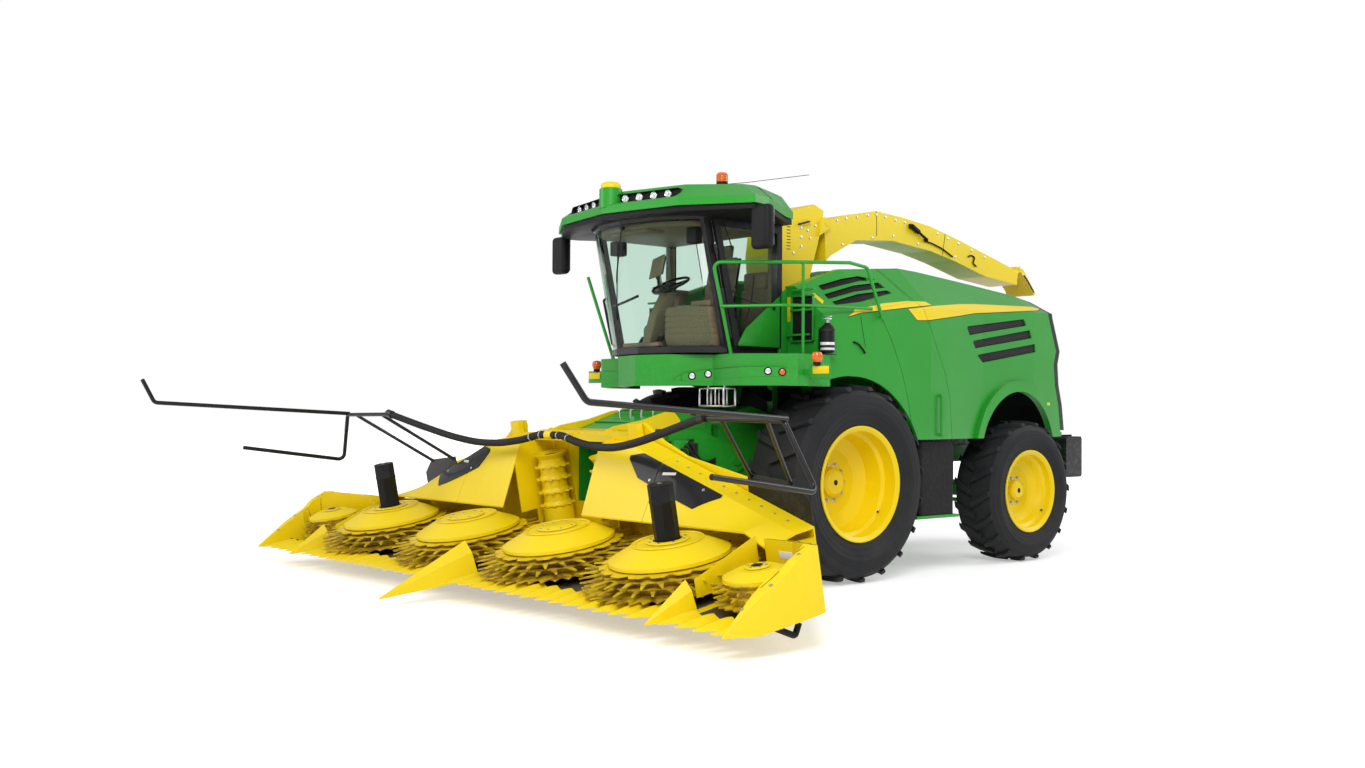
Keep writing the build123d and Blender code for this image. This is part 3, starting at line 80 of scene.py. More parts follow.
def placeCamera(view):
    heading, tilt, roll = (math.radians(view[k]) for k in ("heading", "tilt", "roll"))
    level = math.cos(tilt)
    ahead = Vector((level * math.cos(heading), level * math.sin(heading), math.sin(tilt)))
    levelRight = ahead.cross(toTop).normalized()
    levelUp = levelRight.cross(ahead)
    right = math.cos(roll) * levelRight + math.sin(roll) * levelUp
    up = math.cos(roll) * levelUp - math.sin(roll) * levelRight
    data = bpy.data.cameras.new("photoCamera")
    data.lens, data.sensor_width, data.sensor_fit = view["lens"], view["sensor"], "HORIZONTAL"
    data.clip_start, data.clip_end = 0.1, 500
    camera = bpy.data.objects.new("photoCamera", data)
    turn = Matrix((right, up, -ahead)).transposed().to_4x4()
    camera.matrix_world = Matrix.Translation(view["place"]) @ turn
    scene.collection.objects.link(camera)
    scene.camera = camera


def shader(name):
    material = bpy.data.materials.new(name)
    material.use_nodes = True
    tree = material.node_tree
    return material, tree, tree.nodes["Principled BSDF"]


def feed(tree, socket, value):
    # the value is a plain one or another node's output
    if isinstance(value, bpy.types.NodeSocket):
        tree.links.new(value, socket)
    else:
        socket.default_value = value


def plug(tree, node, **values):
    for key, value in values.items():
        feed(tree, node.inputs[key.replace("_", " ")], value)


def addNode(tree, kind, **values):
    node = tree.nodes.new(kind)
    for key, value in values.items():
        if hasattr(node, key):
            setattr(node, key, value)
        else:
            plug(tree, node, **{key: value})
    return node


def calc(tree, operation, *values, **settings):
    node = addNode(tree, "ShaderNodeMath", operation=operation, **settings)
    for socket, value in zip(node.inputs, values):
        feed(tree, socket, value)
    return node.outputs[0]


def mapRange(tree, value, low, high, toLow=0, toHigh=1):
    node = addNode(tree, "ShaderNodeMapRange", Value=value, From_Min=low, From_Max=high, To_Min=toLow,
                   To_Max=toHigh)
    return node.outputs["Result"]


def objectPlace(tree):
    return addNode(tree, "ShaderNodeTexCoord").outputs["Object"]


def pattern(tree, kind, **values):
    return addNode(tree, "ShaderNodeTex" + kind, Vector=objectPlace(tree), **values).outputs["Fac"]


studio = {
    "floorColour": (0.86, 0.86, 0.865, 1),
    "floorLift": (0.40, 1.0),  # what the camera sees added to the lit floor, beside the machine and far off
    "floorFade": (6.5, 16),  # metres from the middle between which that rises
    "worldColour": (1.0, 1.0, 1.0, 1),
    "worldLight": 0.52,
    "floorSize": 160,
    "lamps": [
        # name, place, aim, size, watts
        ("keyLamp", (9, -9, 9), (0.5, -1.5, 1.2), 6, 1150),
        ("fillLamp", (-8, -10, 7), (0, -1.5, 1.2), 6, 380),
        ("backLamp", (6, 12, 9), (0, 1, 2), 7, 650),
    ],
}


def buildStudio(s):
    material, tree, principled = shader("studioFloor")
    path = addNode(tree, "ShaderNodeLightPath").outputs
    seen = calc(tree, "MAXIMUM", path["Is Camera Ray"], path["Is Glossy Ray"])
    seen = calc(tree, "MAXIMUM", seen, path["Is Transmission Ray"])
    apart = addNode(tree, "ShaderNodeVectorMath", operation="LENGTH")
    feed(tree, apart.inputs[0], objectPlace(tree))
    rise = mapRange(tree, apart.outputs["Value"], *s["floorFade"], *s["floorLift"])
    plug(tree, principled, Base_Color=s["floorColour"], Roughness=0.6, Specular_IOR_Level=0.2,
         Emission_Color=(1, 1, 1, 1), Emission_Strength=calc(tree, "MULTIPLY", seen, rise))
    mesh = bpy.data.meshes.new("studioFloor")
    bm = bmesh.new()
    bmesh.ops.create_grid(bm, x_segments=1, y_segments=1, size=s["floorSize"] / 2)
    bm.to_mesh(mesh)
    bm.free()
    floor = bpy.data.objects.new("studioFloor", mesh)
    mesh.materials.append(material)
    scene.collection.objects.link(floor)

    world = bpy.data.worlds.new("studioWorld")
    world.use_nodes = True
    scene.world = world
    tree = world.node_tree
    path = addNode(tree, "ShaderNodeLightPath").outputs
    seen = calc(tree, "MAXIMUM", path["Is Camera Ray"], path["Is Transmission Ray"])
    plug(tree, tree.nodes["Background"], Color=s["worldColour"],
         Strength=mapRange(tree, seen, 0, 1, s["worldLight"], 1))

    for name, place, aim, size, watts in s["lamps"]:
        data = bpy.data.lights.new(name, "AREA")
        data.energy, data.size = watts, size
        lamp = bpy.data.objects.new(name, data)
        lamp.location = place
        lamp.rotation_mode = "QUATERNION"
        lamp.rotation_quaternion = (Vector(aim) - Vector(place)).to_track_quat("-Z", "Y")
        scene.collection.objects.link(lamp)


placeCamera(cameraView)
buildStudio(studio)
scene.view_settings.view_transform = "Standard"
print("camera and studio ready")

# shader groups that several finishes share


def newGroup(name, inputs, outputs):
    group = bpy.data.node_groups.new(name, "ShaderNodeTree")
    for label, value in inputs.items():
        kind = "Color" if isinstance(value, tuple) else "Float"
        socket = group.interface.new_socket(label, in_out="INPUT", socket_type="NodeSocket" + kind)
        socket.default_value = value
    for label in outputs:
        kind = "Color" if label == "Colour" else "Float"
        group.interface.new_socket(label, in_out="OUTPUT", socket_type="NodeSocket" + kind)
    return group, group.nodes.new("NodeGroupInput").outputs, group.nodes.new("NodeGroupOutput")


def useGroup(tree, group, **values):
    node = tree.nodes.new("ShaderNodeGroup")
    node.node_tree = group
    plug(tree, node, **values)
    return node.outputs


def mixColour(tree, factor, first, second):
    mix = tree.nodes.new("ShaderNodeMix")
    mix.data_type = "RGBA"
    plug(tree, mix, Factor=factor, A=first, B=second)
    return mix.outputs["Result"]


groupLooks = {
    "wornEdge": (0.56, 0.68),  # pointiness over which an edge becomes worn
    "wornPatches": (0.45, 0.6),
    "dustFacing": (-0.2, 1.0, 0.25, 1.0),  # height of the normal from and to, and the dust at both
    "dustLow": (1.0, 0.25),  # dust on the ground and at the film's height
    "dustPatches": (0.3, 0.75),
}


def buildEdgeWear(c):
    # paint that thins on corners: worn colour where the surface is sharp and the noise is high
    group, given, end = newGroup(
        "edgeWear", {"Colour": (1, 1, 1, 1), "Worn Colour": (1, 1, 1, 1), "Amount": 0.3, "Scale": 30},
        ("Colour", "Mask"))
    noise = pattern(group, "Noise", Scale=given["Scale"], Detail=5.0, Roughness=0.65)
    sharp = addNode(group, "ShaderNodeNewGeometry").outputs["Pointiness"]
    mask = mapRange(group, sharp, *c["wornEdge"])
    mask = calc(group, "MULTIPLY", mask, mapRange(group, noise, *c["wornPatches"]))
    mask = calc(group, "MULTIPLY", mask, given["Amount"])
    plug(group, end, Mask=mask, Colour=mixColour(group, mask, given["Colour"], given["Worn Colour"]))
    return group


def buildDust(c):
    # a thin film that settles on faces that look up and gathers near the ground
    group, given, end = newGroup(
        "dustFilm", {"Colour": (1, 1, 1, 1), "Dust Colour": (0.45, 0.4, 0.33, 1), "Amount": 0.2, "Scale": 4,
                     "Height": 1.5}, ("Colour", "Mask"))
    noise = pattern(group, "Noise", Scale=given["Scale"], Detail=6.0, Roughness=0.6)
    facing, place = addNode(group, "ShaderNodeSeparateXYZ"), addNode(group, "ShaderNodeSeparateXYZ")
    feed(group, facing.inputs[0], addNode(group, "ShaderNodeNewGeometry").outputs["Normal"])
    feed(group, place.inputs[0], objectPlace(group))
    low = mapRange(group, place.outputs["Z"], 0.0, given["Height"], *c["dustLow"])
    mask = calc(group, "MULTIPLY", mapRange(group, facing.outputs["Z"], *c["dustFacing"]), low)
    mask = calc(group, "MULTIPLY", mask, mapRange(group, noise, *c["dustPatches"]))
    mask = calc(group, "MULTIPLY", mask, given["Amount"])
    plug(group, end, Mask=mask, Colour=mixColour(group, mask, given["Colour"], given["Dust Colour"]))
    return group


def buildFineGrain():
    # moulded or sprayed texture: a height, and the gloss that varies with it
    group, given, end = newGroup("fineGrain", {"Scale": 200, "Patch Scale": 3, "Gloss": 0.4, "Spread": 0.1},
                                 ("Height", "Roughness", "Patch"))
    fine = pattern(group, "Noise", Scale=given["Scale"], Detail=3.0, Roughness=0.55)
    patch = pattern(group, "Noise", Scale=given["Patch Scale"], Detail=3.0, Roughness=0.5)
    centred = calc(group, "SUBTRACT", patch, 0.5)
    plug(group, end, Height=fine, Patch=patch,
         Roughness=calc(group, "MULTIPLY_ADD", centred, given["Spread"], given["Gloss"]))
    return group


wearGroup, dustGroup, grainGroup = buildEdgeWear(groupLooks), buildDust(groupLooks), buildFineGrain()

plainFinish = dict(wear=0.3, dust=0.02, spread=0.10, metal=0, coat=0, shine=0.35)  # where a finish names none
finishes = {
    # shade is the colour's other tone in patches, worn its colour on edges; gloss counts from 0, the shiniest
    "greenPaint": dict(colour=(0.020, 0.330, 0.024), shade=(0.015, 0.280, 0.019), worn=(0.08, 0.42, 0.09),
                       gloss=0.36, grain=260, depth=0.02, coat=0.12),
    "yellowPaint": dict(colour=(0.88, 0.66, 0.0005), shade=(0.83, 0.60, 0.0005), worn=(0.92, 0.76, 0.08),
                        gloss=0.42, grain=240, depth=0.02, coat=0.05),
    "blackPaint": dict(colour=(0.012, 0.012, 0.014), shade=(0.008, 0.008, 0.010), worn=(0.08, 0.08, 0.09),
                       wear=0.6, dust=0.04, gloss=0.38, spread=0.12, grain=220, depth=0.05, coat=0.25,
                       shine=0.14),
    "blackPlastic": dict(colour=(0.013, 0.013, 0.014), shade=(0.009, 0.009, 0.010), worn=(0.05, 0.05, 0.05),
                         wear=0.4, dust=0.04, gloss=0.52, grain=900, depth=0.25, shine=0.14),
    "tyreRubber": dict(colour=(0.024, 0.025, 0.028), shade=(0.015, 0.016, 0.018), worn=(0.07, 0.07, 0.075),
                       wear=0.5, dust=0.10, gloss=0.62, spread=0.16, grain=420, depth=0.30, shine=0.14),
    "hoseRubber": dict(colour=(0.024, 0.024, 0.026), shade=(0.018, 0.018, 0.02), worn=(0.08, 0.08, 0.085),
                       dust=0.10, gloss=0.45, spread=0.12, grain=500, depth=0.15, shine=0.14),
    "tanTrim": dict(colour=(0.17, 0.122, 0.070), shade=(0.13, 0.092, 0.052), worn=(0.42, 0.34, 0.24),
                    dust=0.06, gloss=0.55, grain=800, depth=0.25),
    "castMetal": dict(colour=(0.13, 0.13, 0.135), shade=(0.09, 0.09, 0.095), worn=(0.3, 0.3, 0.3), wear=0.6,
                      dust=0.15, gloss=0.55, spread=0.15, grain=350, depth=0.35, metal=0.6),
    "groundSteel": dict(colour=(0.60, 0.60, 0.61), shade=(0.48, 0.48, 0.5), worn=(0.8, 0.8, 0.8), wear=0.4,
                        dust=0.04, gloss=0.28, spread=0.15, grain=500, depth=0.05, metal=1),
    "amberLens": dict(colour=(0.80, 0.16, 0.01), shade=(0.65, 0.10, 0.01), worn=(0.9, 0.4, 0.1), wear=0.2,
                      dust=0.03, gloss=0.16, spread=0.05, grain=200, depth=0.05, coat=0.6),
    "whitePlate": dict(colour=(0.78, 0.78, 0.76), shade=(0.70, 0.70, 0.68), worn=(0.6, 0.6, 0.58), dust=0.12,
                       gloss=0.4, grain=300, depth=0.05, coat=0.3),
    "redPaint": dict(colour=(0.55, 0.03, 0.015), shade=(0.42, 0.02, 0.012), worn=(0.7, 0.2, 0.15), dust=0.08,
                     gloss=0.32, grain=240, depth=0.03, coat=0.4),
}
finishes["chrome"] = dict(finishes["groundSteel"], colour=(0.75, 0.76, 0.78), shade=(0.6, 0.61, 0.63),
                          gloss=0.16)
finishes["mirrorGlass"] = dict(finishes["groundSteel"], colour=(0.8, 0.82, 0.84), shade=(0.7, 0.72, 0.75),
                               gloss=0.05, spread=0.03, depth=0.0)
# dark brown metal for the sheets between the fingers: painted shade
finishes["wornSteel"] = dict(finishes["castMetal"], colour=(0.075, 0.062, 0.038), shade=(0.05, 0.042, 0.028),
                             worn=(0.22, 0.18, 0.08), metal=0.3)


allFinishes = {
    "patchScale": 1.7,
    "wearScale": 22,
    "dustScale": 3.5,
    "dustDulls": 0.6,  # roughness that full dust adds
    "grainHeight": 0.0008,
    "coatRoughness": 0.08,
}


def buildFinish(name, look, overlay=None):
    # the overlay paints over the plain colour, under wear and dust
    f = {**plainFinish, **allFinishes, **look}
    material, tree, principled = shader(name)
    grain = useGroup(tree, grainGroup, Scale=f["grain"], Patch_Scale=f["patchScale"], Gloss=f["gloss"],
                     Spread=f["spread"])
    tone = mixColour(tree, grain["Patch"], (*f["shade"], 1), (*f["colour"], 1))
    if overlay:
        tone = overlay(tree, tone)
    wear = useGroup(tree, wearGroup, Colour=tone, Worn_Colour=(*f["worn"], 1), Amount=f["wear"],
                    Scale=f["wearScale"])
    dust = useGroup(tree, dustGroup, Colour=wear["Colour"], Amount=f["dust"], Scale=f["dustScale"])
    dulled = calc(tree, "MULTIPLY_ADD", dust["Mask"], f["dustDulls"], grain["Roughness"], use_clamp=True)
    bump = addNode(tree, "ShaderNodeBump", Distance=f["grainHeight"], Strength=f["depth"],
                   Height=grain["Height"])
    plug(tree, principled, Base_Color=dust["Colour"], Roughness=dulled, Normal=bump.outputs["Normal"],
         Metallic=f["metal"], Coat_Weight=f["coat"], Coat_Roughness=f["coatRoughness"],
         Specular_IOR_Level=f["shine"])
    return material


otherLooks = {
    "glassTints": ((0.70, 0.83, 0.76, 1), (0.76, 0.87, 0.81, 1)),
    "lensTints": ((0.55, 0.57, 0.60, 1), (0.92, 0.94, 0.96, 1)),
    "lensRibs": 38.0,
    "clothTints": ((0.16, 0.12, 0.075, 1), (0.30, 0.235, 0.155, 1), (0.22, 0.17, 0.11, 1)),
    "clothRibs": 90.0,
}


def buildGlass(c):
    material, tree, principled = shader("cabGlassPane")
    grain = useGroup(tree, grainGroup, Scale=40, Patch_Scale=0.8, Gloss=0.03, Spread=0.03)
    plug(tree, principled, Base_Color=mixColour(tree, grain["Patch"], *c["glassTints"]),
         Roughness=grain["Roughness"], Transmission_Weight=1, IOR=1.12)
    return material


def buildLens(c):
    material, tree, principled = shader("lampLens")
    ribs = pattern(tree, "Wave", Scale=c["lensRibs"], Distortion=0.0)
    bump = addNode(tree, "ShaderNodeBump", Distance=0.002, Strength=0.5, Height=ribs)
    plug(tree, principled, Base_Color=mixColour(tree, ribs, *c["lensTints"]), Normal=bump.outputs["Normal"],
         Roughness=0.08, Metallic=0.35, Coat_Weight=1.0)
    return material


def buildCloth(c):
    material, tree, principled = shader("seatCloth")
    woven = calc(tree, "MULTIPLY", *(pattern(tree, "Wave", Scale=c["clothRibs"], Distortion=0.4,
                                             bands_direction=way) for way in "ZX"))
    grain = useGroup(tree, grainGroup, Scale=350, Patch_Scale=6, Gloss=0.85, Spread=0.1)
    low, high, patch = c["clothTints"]
    base = mixColour(tree, woven, low, high)
    bump = addNode(tree, "ShaderNodeBump", Distance=0.0015, Strength=0.5, Height=woven)
    plug(tree, principled, Base_Color=mixColour(tree, grain["Patch"], base, patch),
         Roughness=grain["Roughness"], Normal=bump.outputs["Normal"], Sheen_Weight=0.3)
    return material


finish = {name: buildFinish(name, look) for name, look in finishes.items()}
finish["glass"], finish["lens"] = buildGlass(otherLooks), buildLens(otherLooks)
finish["cloth"] = buildCloth(otherLooks)

slotFinish = {
    "green_paint": "greenPaint", "yellow_paint": "yellowPaint", "black_paint": "blackPaint",
    "tyre_rubber": "tyreRubber", "hose_rubber": "hoseRubber", "cab_glass": "glass",
    "black_plastic": "blackPlastic", "tan_trim": "tanTrim", "seat_cloth": "cloth",
    "lamp_lens": "lens", "cast_metal": "castMetal", "steel": "groundSteel",
}
for part in frame["record"]["subparts"]:
    mesh = nodes[part["node"]].data
    mesh.materials.clear()
    mesh.materials.append(finish[slotFinish[part["material_slot"]]])
print("finishes on the packed nodes")

# ways to place and shape new pieces; lengths are millimetres unless a note says otherwise

slotOf = {look: slotName for slotName, look in slotFinish.items()}
slotOf.update(amberLens="lamp_lens", redPaint="lamp_lens", mirrorGlass="lamp_lens", whitePlate="steel",
              chrome="steel", wornSteel="cast_metal")
headerTurn = Matrix.Rotation(machine["headerTilt"], 4, "X")
headerMatrix = Matrix.Translation(machine["headerPlace"]) @ headerTurn


def fromMachine(x, y, z):
    return Vector((x / 1000, y / 1000 - machine["middle"], z / 1000))


def placesOf(*points):
    return [fromMachine(*point) for point in points]


def fromHeader(x, y, z):
    return headerMatrix @ Vector((x / 1000, y / 1000, z / 1000))


def headerWay(x, y, z):
    return headerTurn.to_3x3() @ Vector((x, y, z))


def leaning(degrees):
    return Matrix.Rotation(math.radians(degrees), 3, "X")


def newPiece(name, bm, look, body="chassis", crease=35, both=False, slotName=None):
    # both adds the other side's copy to the piece
    if not bm.verts:
        bm.free()
        return None
    if both:
        mirrorMesh(bm)
    bmesh.ops.recalc_face_normals(bm, faces=bm.faces[:])
    mesh = bpy.data.meshes.new(name)
    bm.to_mesh(mesh)
    bm.free()
    mesh.shade_smooth()
    mesh.set_sharp_from_angle(angle=math.radians(crease))
    mesh.materials.append(finish[look])
    piece = bpy.data.objects.new(name, mesh)
    scene.collection.objects.link(piece)
    if body:
        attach(piece, body)
    return piece


def newPairs(body, *rows):
    # a left piece and its mirrored right one for each row of name, mesh, look and crease
    for side in ("left", "right"):
        for name, bm, look, *crease in rows:
            copy = bm.copy()
            if side == "right":
                flip(copy)
            newPiece(name + side.title(), copy, look, body + "_" + side, *crease)
    for row in rows:
        row[1].free()


def flip(bm):
    bmesh.ops.scale(bm, vec=(-1, 1, 1), verts=bm.verts)


def mirrorMesh(bm):
    copy = bmesh.ops.duplicate(bm, geom=bm.verts[:] + bm.edges[:] + bm.faces[:])["geom"]
    moved = [g for g in copy if isinstance(g, bmesh.types.BMVert)]
    bmesh.ops.scale(bm, vec=(-1, 1, 1), verts=moved)
    bmesh.ops.reverse_faces(bm, faces=[g for g in copy if isinstance(g, bmesh.types.BMFace)])


def newMeshes(count):
    return [bmesh.new() for _ in range(count)]


def roundEdges(bm, edges, reach, segments=2):
    bmesh.ops.bevel(bm, geom=edges, offset=reach / 1000, offset_type="OFFSET", affect="EDGES",
                    segments=segments, profile=0.5, material=-1, clamp_overlap=True)


def joinInto(bm, part):
    mesh = bpy.data.meshes.new("joining")
    part.to_mesh(mesh)
    part.free()
    bm.from_mesh(mesh)
    bpy.data.meshes.remove(mesh)


def addBlock(bm, centre, size, turn=None, rounding=3, segments=2):
    # centre is a place in metres, size is in millimetres
    part = bmesh.new()
    bmesh.ops.create_cube(part, size=1)
    bmesh.ops.scale(part, vec=Vector(size) / 1000, verts=part.verts)
    if rounding:
        roundEdges(part, part.edges[:], rounding, segments)
    matrix = Matrix.Translation(centre) @ (turn.to_4x4() if turn else Matrix())
    bmesh.ops.transform(part, matrix=matrix, verts=part.verts)
    joinInto(bm, part)


def addBlocks(bm, rows):
    # rows of place, size, rounding, segments and, where the block leans, its degrees about X
    for place, size, rounding, segments, *lean in rows:
        addBlock(bm, fromMachine(*place), size, leaning(lean[0]) if lean else None, rounding, segments)


def addRound(bm, start, end, radius, sides=20, rounding=1.5):
    # bar or disc between two places in metres
    way = end - start
    part = bmesh.new()
    bmesh.ops.create_cone(part, cap_ends=True, segments=sides, radius1=radius / 1000, radius2=radius / 1000,
                          depth=way.length)
    if rounding:
        rims = [e for e in part.edges if abs(e.verts[0].co.z - e.verts[1].co.z) < 1e-6]
        roundEdges(part, rims, rounding, 2)
    turn = way.to_track_quat("Z", "Y").to_matrix().to_4x4()
    bmesh.ops.transform(part, matrix=Matrix.Translation((start + end) / 2) @ turn, verts=part.verts)
    joinInto(bm, part)


def addPlate(bm, corners, push, rounding=1.5):
    # plate from its corners in metres and the vector that gives its thickness
    part = bmesh.new()
    face = part.faces.new([part.verts.new(c) for c in corners])
    grown = bmesh.ops.extrude_face_region(part, geom=[face])["geom"]
    bmesh.ops.translate(part, vec=push, verts=[g for g in grown if isinstance(g, bmesh.types.BMVert)])
    bmesh.ops.recalc_face_normals(part, faces=part.faces[:])
    if rounding:
        roundEdges(part, part.edges[:], rounding, 2)
    joinInto(bm, part)


def addBand(bm, near, far, closed=True):
    # faces between two rows of corners
    for index in range(len(near) if closed else len(near) - 1):
        following = (index + 1) % len(near)
        bm.faces.new((near[index], near[following], far[following], far[index]))


def smoothRoute(points, bend, steps=5):
    # points with each corner turned into a short arc
    route = [points[0]]
    for before, corner, after in zip(points, points[1:], points[2:]):
        back, ahead = before - corner, after - corner
        reach = min(bend / 1000, 0.45 * back.length, 0.45 * ahead.length)
        first, last = corner + back.normalized() * reach, corner + ahead.normalized() * reach
        for index in range(steps + 1):
            share = index / steps
            route.append((1 - share) ** 2 * first + 2 * share * (1 - share) * corner + share ** 2 * last)
    route.append(points[-1])
    return route


def addTube(bm, points, radius, bend=60, sides=12, radii=None):
    # tube along a route, drawn with one turned circle for each of its points
    route = smoothRoute(points, bend) if bend else points
    part = bmesh.new()
    rings, turn = [], None
    for index, place in enumerate(route):
        before, after = route[max(index - 1, 0)], route[min(index + 1, len(route) - 1)]
        way = (after - before).normalized()
        if turn is None:
            turn = way.to_track_quat("Z", "Y")
        else:
            turn = (turn @ toTop).rotation_difference(way) @ turn
        size = (radii[index] if radii else radius) / 1000
        matrix = Matrix.Translation(place) @ turn.to_matrix().to_4x4()
        rings.append(bmesh.ops.create_circle(part, segments=sides, radius=size, matrix=matrix)["verts"])
    for ring, following in zip(rings, rings[1:]):
        addBand(part, ring, following)
    part.faces.new(list(reversed(rings[0])))
    part.faces.new(rings[-1])
    joinInto(bm, part)


def addBolts(bm, places, way, radius=11, height=8):
    # hexagon heads on washers at places in metres, which stand along one direction
    way = way.normalized()
    for place in places:
        addRound(bm, place - way * 0.001, place + way * 0.0025, radius * 1.55, sides=16, rounding=0.5)
        addRound(bm, place, place + way * height / 1000, radius, sides=6, rounding=1)


def spunPart(outline, centre, axis, steps=48):
    # ring or bowl from (radius, height) in millimetres, spun about an axis through its centre
    part = bmesh.new()
    verts = [part.verts.new((r / 1000, 0, z / 1000)) for r, z in outline]
    edges = [part.edges.new(pair) for pair in zip(verts, verts[1:])]
    bmesh.ops.spin(part, geom=verts + edges, cent=(0, 0, 0), axis=(0, 0, 1), angle=2 * math.pi, steps=steps,
                   use_merge=True)
    bmesh.ops.remove_doubles(part, verts=part.verts, dist=1e-6)
    turn = axis.to_track_quat("Z", "Y").to_matrix().to_4x4()
    bmesh.ops.transform(part, matrix=Matrix.Translation(centre) @ turn, verts=part.verts)
    return part


def addSpun(bm, outline, centre, axis, steps=48):
    joinInto(bm, spunPart(outline, centre, axis, steps))


class Surface:
    # the outside of one or more CAD nodes, to lay pieces on
    def __init__(self, *names):
        self.trees = []
        for name in names:
            bm = bmesh.new()
            bm.from_mesh(nodes[name].data)
            self.trees.append(BVHTree.FromBMesh(bm))
            bm.free()

    def hit(self, start, way):
        # nearest place along the way, and its normal on the side that the way comes from
        best = None
        for tree in self.trees:
            place, normal, _, distance = tree.ray_cast(start, way)
            if place is not None and (best is None or distance < best[2]):
                best = (place, -normal if normal.dot(way) > 0 else normal, distance)
        return best

    def side(self, y, z, lift=0):
        # place on the left side at a side-view point, lifted off it
        found = self.hit(fromMachine(2500, y, z), -toLeft)
        return found and found[0] + found[1] * lift / 1000

    def sideRoute(self, spots, lift):
        # places for all side-view points, or nothing where one misses
        route = [self.side(y, z, lift) for y, z in spots]
        return route if all(route) else None

    def sideBolts(self, bm, spots, radius, height):
        for y, z in spots:
            place = self.side(y, z, -1)
            if place:
                addBolts(bm, [place], toLeft, radius, height)


# stripes along the body, as side-view lines (y, z) in the machine's frame

stripes = {
    "front": {
        "low": [(-113, 2622), (71, 2671), (352, 2706), (789, 2762), (1100, 2799), (1224, 2812)],
        "high": [(-113, 2622), (27, 2706), (115, 2721), (364, 2767), (452, 2788), (875, 2839), (1155, 2848),
                 (1224, 2812)],
    },
    "rear": {
        "low": [(785, 2745), (928, 2637), (1094, 2645), (1761, 2731), (2082, 2777), (3600, 2901),
                (3760, 2935)],
        "high": [(785, 2745), (1206, 2802), (1872, 2869), (2211, 2892), (3600, 2948), (3760, 2935)],
    },
    "reach": (-300, 3900),  # y range of the curves
    "heights": (2400, 3100),
    "shadowLine": 10,
    "softness": 0.0015,  # metres over which an edge fades
    "yellow": (0.88, 0.66, 0.006, 1),
    "line": (0.012, 0.03, 0.012, 1),
}


def buildStripeMask(s):
    group, given, end = newGroup("bodyStripes", {"Softness": s["softness"]}, ("Stripe", "Line"))
    parts = addNode(group, "ShaderNodeSeparateXYZ")
    feed(group, parts.inputs[0], objectPlace(group))
    along, height = parts.outputs["Y"], parts.outputs["Z"]
    nearEnd, farEnd = s["reach"]
    low, high = s["heights"]
    shareAlong = mapRange(group, along, nearEnd / 1000 - machine["middle"], farEnd / 1000 - machine["middle"])

    def heightOf(points):
        curve = addNode(group, "ShaderNodeFloatCurve")
        line = curve.mapping.curves[0]
        while len(line.points) < len(points):
            line.points.new(0.5, 0.5)
        for point, (y, z) in zip(line.points, points):
            point.location = ((y - nearEnd) / (farEnd - nearEnd), (z - low) / (high - low))
            point.handle_type = "VECTOR"
        curve.mapping.update()
        feed(group, curve.inputs["Value"], shareAlong)
        return calc(group, "MULTIPLY_ADD", curve.outputs[0], (high - low) / 1000, low / 1000)

    def beyond(first, second, gap=0):
        # 1 where the first height lies above the second by more than the gap
        fade = calc(group, "ADD", given["Softness"], gap / 1000)
        return mapRange(group, calc(group, "SUBTRACT", first, second), gap / 1000, fade)

    stripe, line = [], []
    for band in (s["front"], s["rear"]):
        under, over = heightOf(band["low"]), heightOf(band["high"])
        first, last = (band["low"][i][0] / 1000 - machine["middle"] for i in (0, -1))
        span = calc(group, "MULTIPLY", calc(group, "GREATER_THAN", along, first),
                    calc(group, "LESS_THAN", along, last))
        for masks, gap in ((stripe, 0), (line, -s["shadowLine"])):
            within = calc(group, "MULTIPLY", beyond(height, under, gap), beyond(over, height))
            masks.append(calc(group, "MULTIPLY", within, span))
    plug(group, end, Stripe=calc(group, "MAXIMUM", *stripe), Line=calc(group, "MAXIMUM", *line))
    return group


stripeGroup = buildStripeMask(stripes)


def stripeOverlay(tree, tone):
    mask = useGroup(tree, stripeGroup)
    tone = mixColour(tree, mask["Line"], tone, stripes["line"])
    return mixColour(tree, mask["Stripe"], tone, stripes["yellow"])


finish["stripedPaint"] = buildFinish("stripedPaint", finishes["greenPaint"], stripeOverlay)
for name in ("front_panels", "mid_panels", "rear_panel_left", "rear_panel_right"):
    nodes[name].data.materials[0] = finish["stripedPaint"]

# grilles in the louvres: cells between a low and a high side-view line

grilles = {
    "front": [
        ([(-176, 2892), (209, 2985), (432, 3035), (640, 3057)],
         [(-164, 2948), (174, 3040), (432, 3086), (636, 3064)]),
        ([(-191, 2799), (209, 2900), (706, 2976)], [(-190, 2853), (258, 2972), (665, 3030)]),
        ([(-167, 2740), (180, 2789), (736, 2916)], [(-183, 2772), (219, 2876), (700, 2945)]),
    ],
    "rear": [
        ([(1981, 2531), (3240, 2699)], [(1913, 2623), (3174, 2772)]),
        ([(2118, 2392), (3357, 2559)], [(2049, 2470), (3307, 2651)]),
        ([(2292, 2241), (3446, 2400)], [(2153, 2321), (3427, 2494)]),
    ],
    "cell": {"front": 21, "rear": 26},
    "ends": 0.004,  # share of a line that stays free at each end
    "edges": 0.01,
    "lift": 2.5,  # how far a grille stands off the bottom of its recess
    "bar": 4,
    "sink": 1.8,
}


def pointAlong(line, share):
    lengths = [math.dist(a, b) for a, b in zip(line, line[1:])]
    rest = share * sum(lengths)
    for (a, b), length in zip(zip(line, line[1:]), lengths):
        if rest <= length or (a, b) == (line[-2], line[-1]):
            t = min(rest / length, 1)
            return (a[0] + (b[0] - a[0]) * t, a[1] + (b[1] - a[1]) * t)
        rest -= length


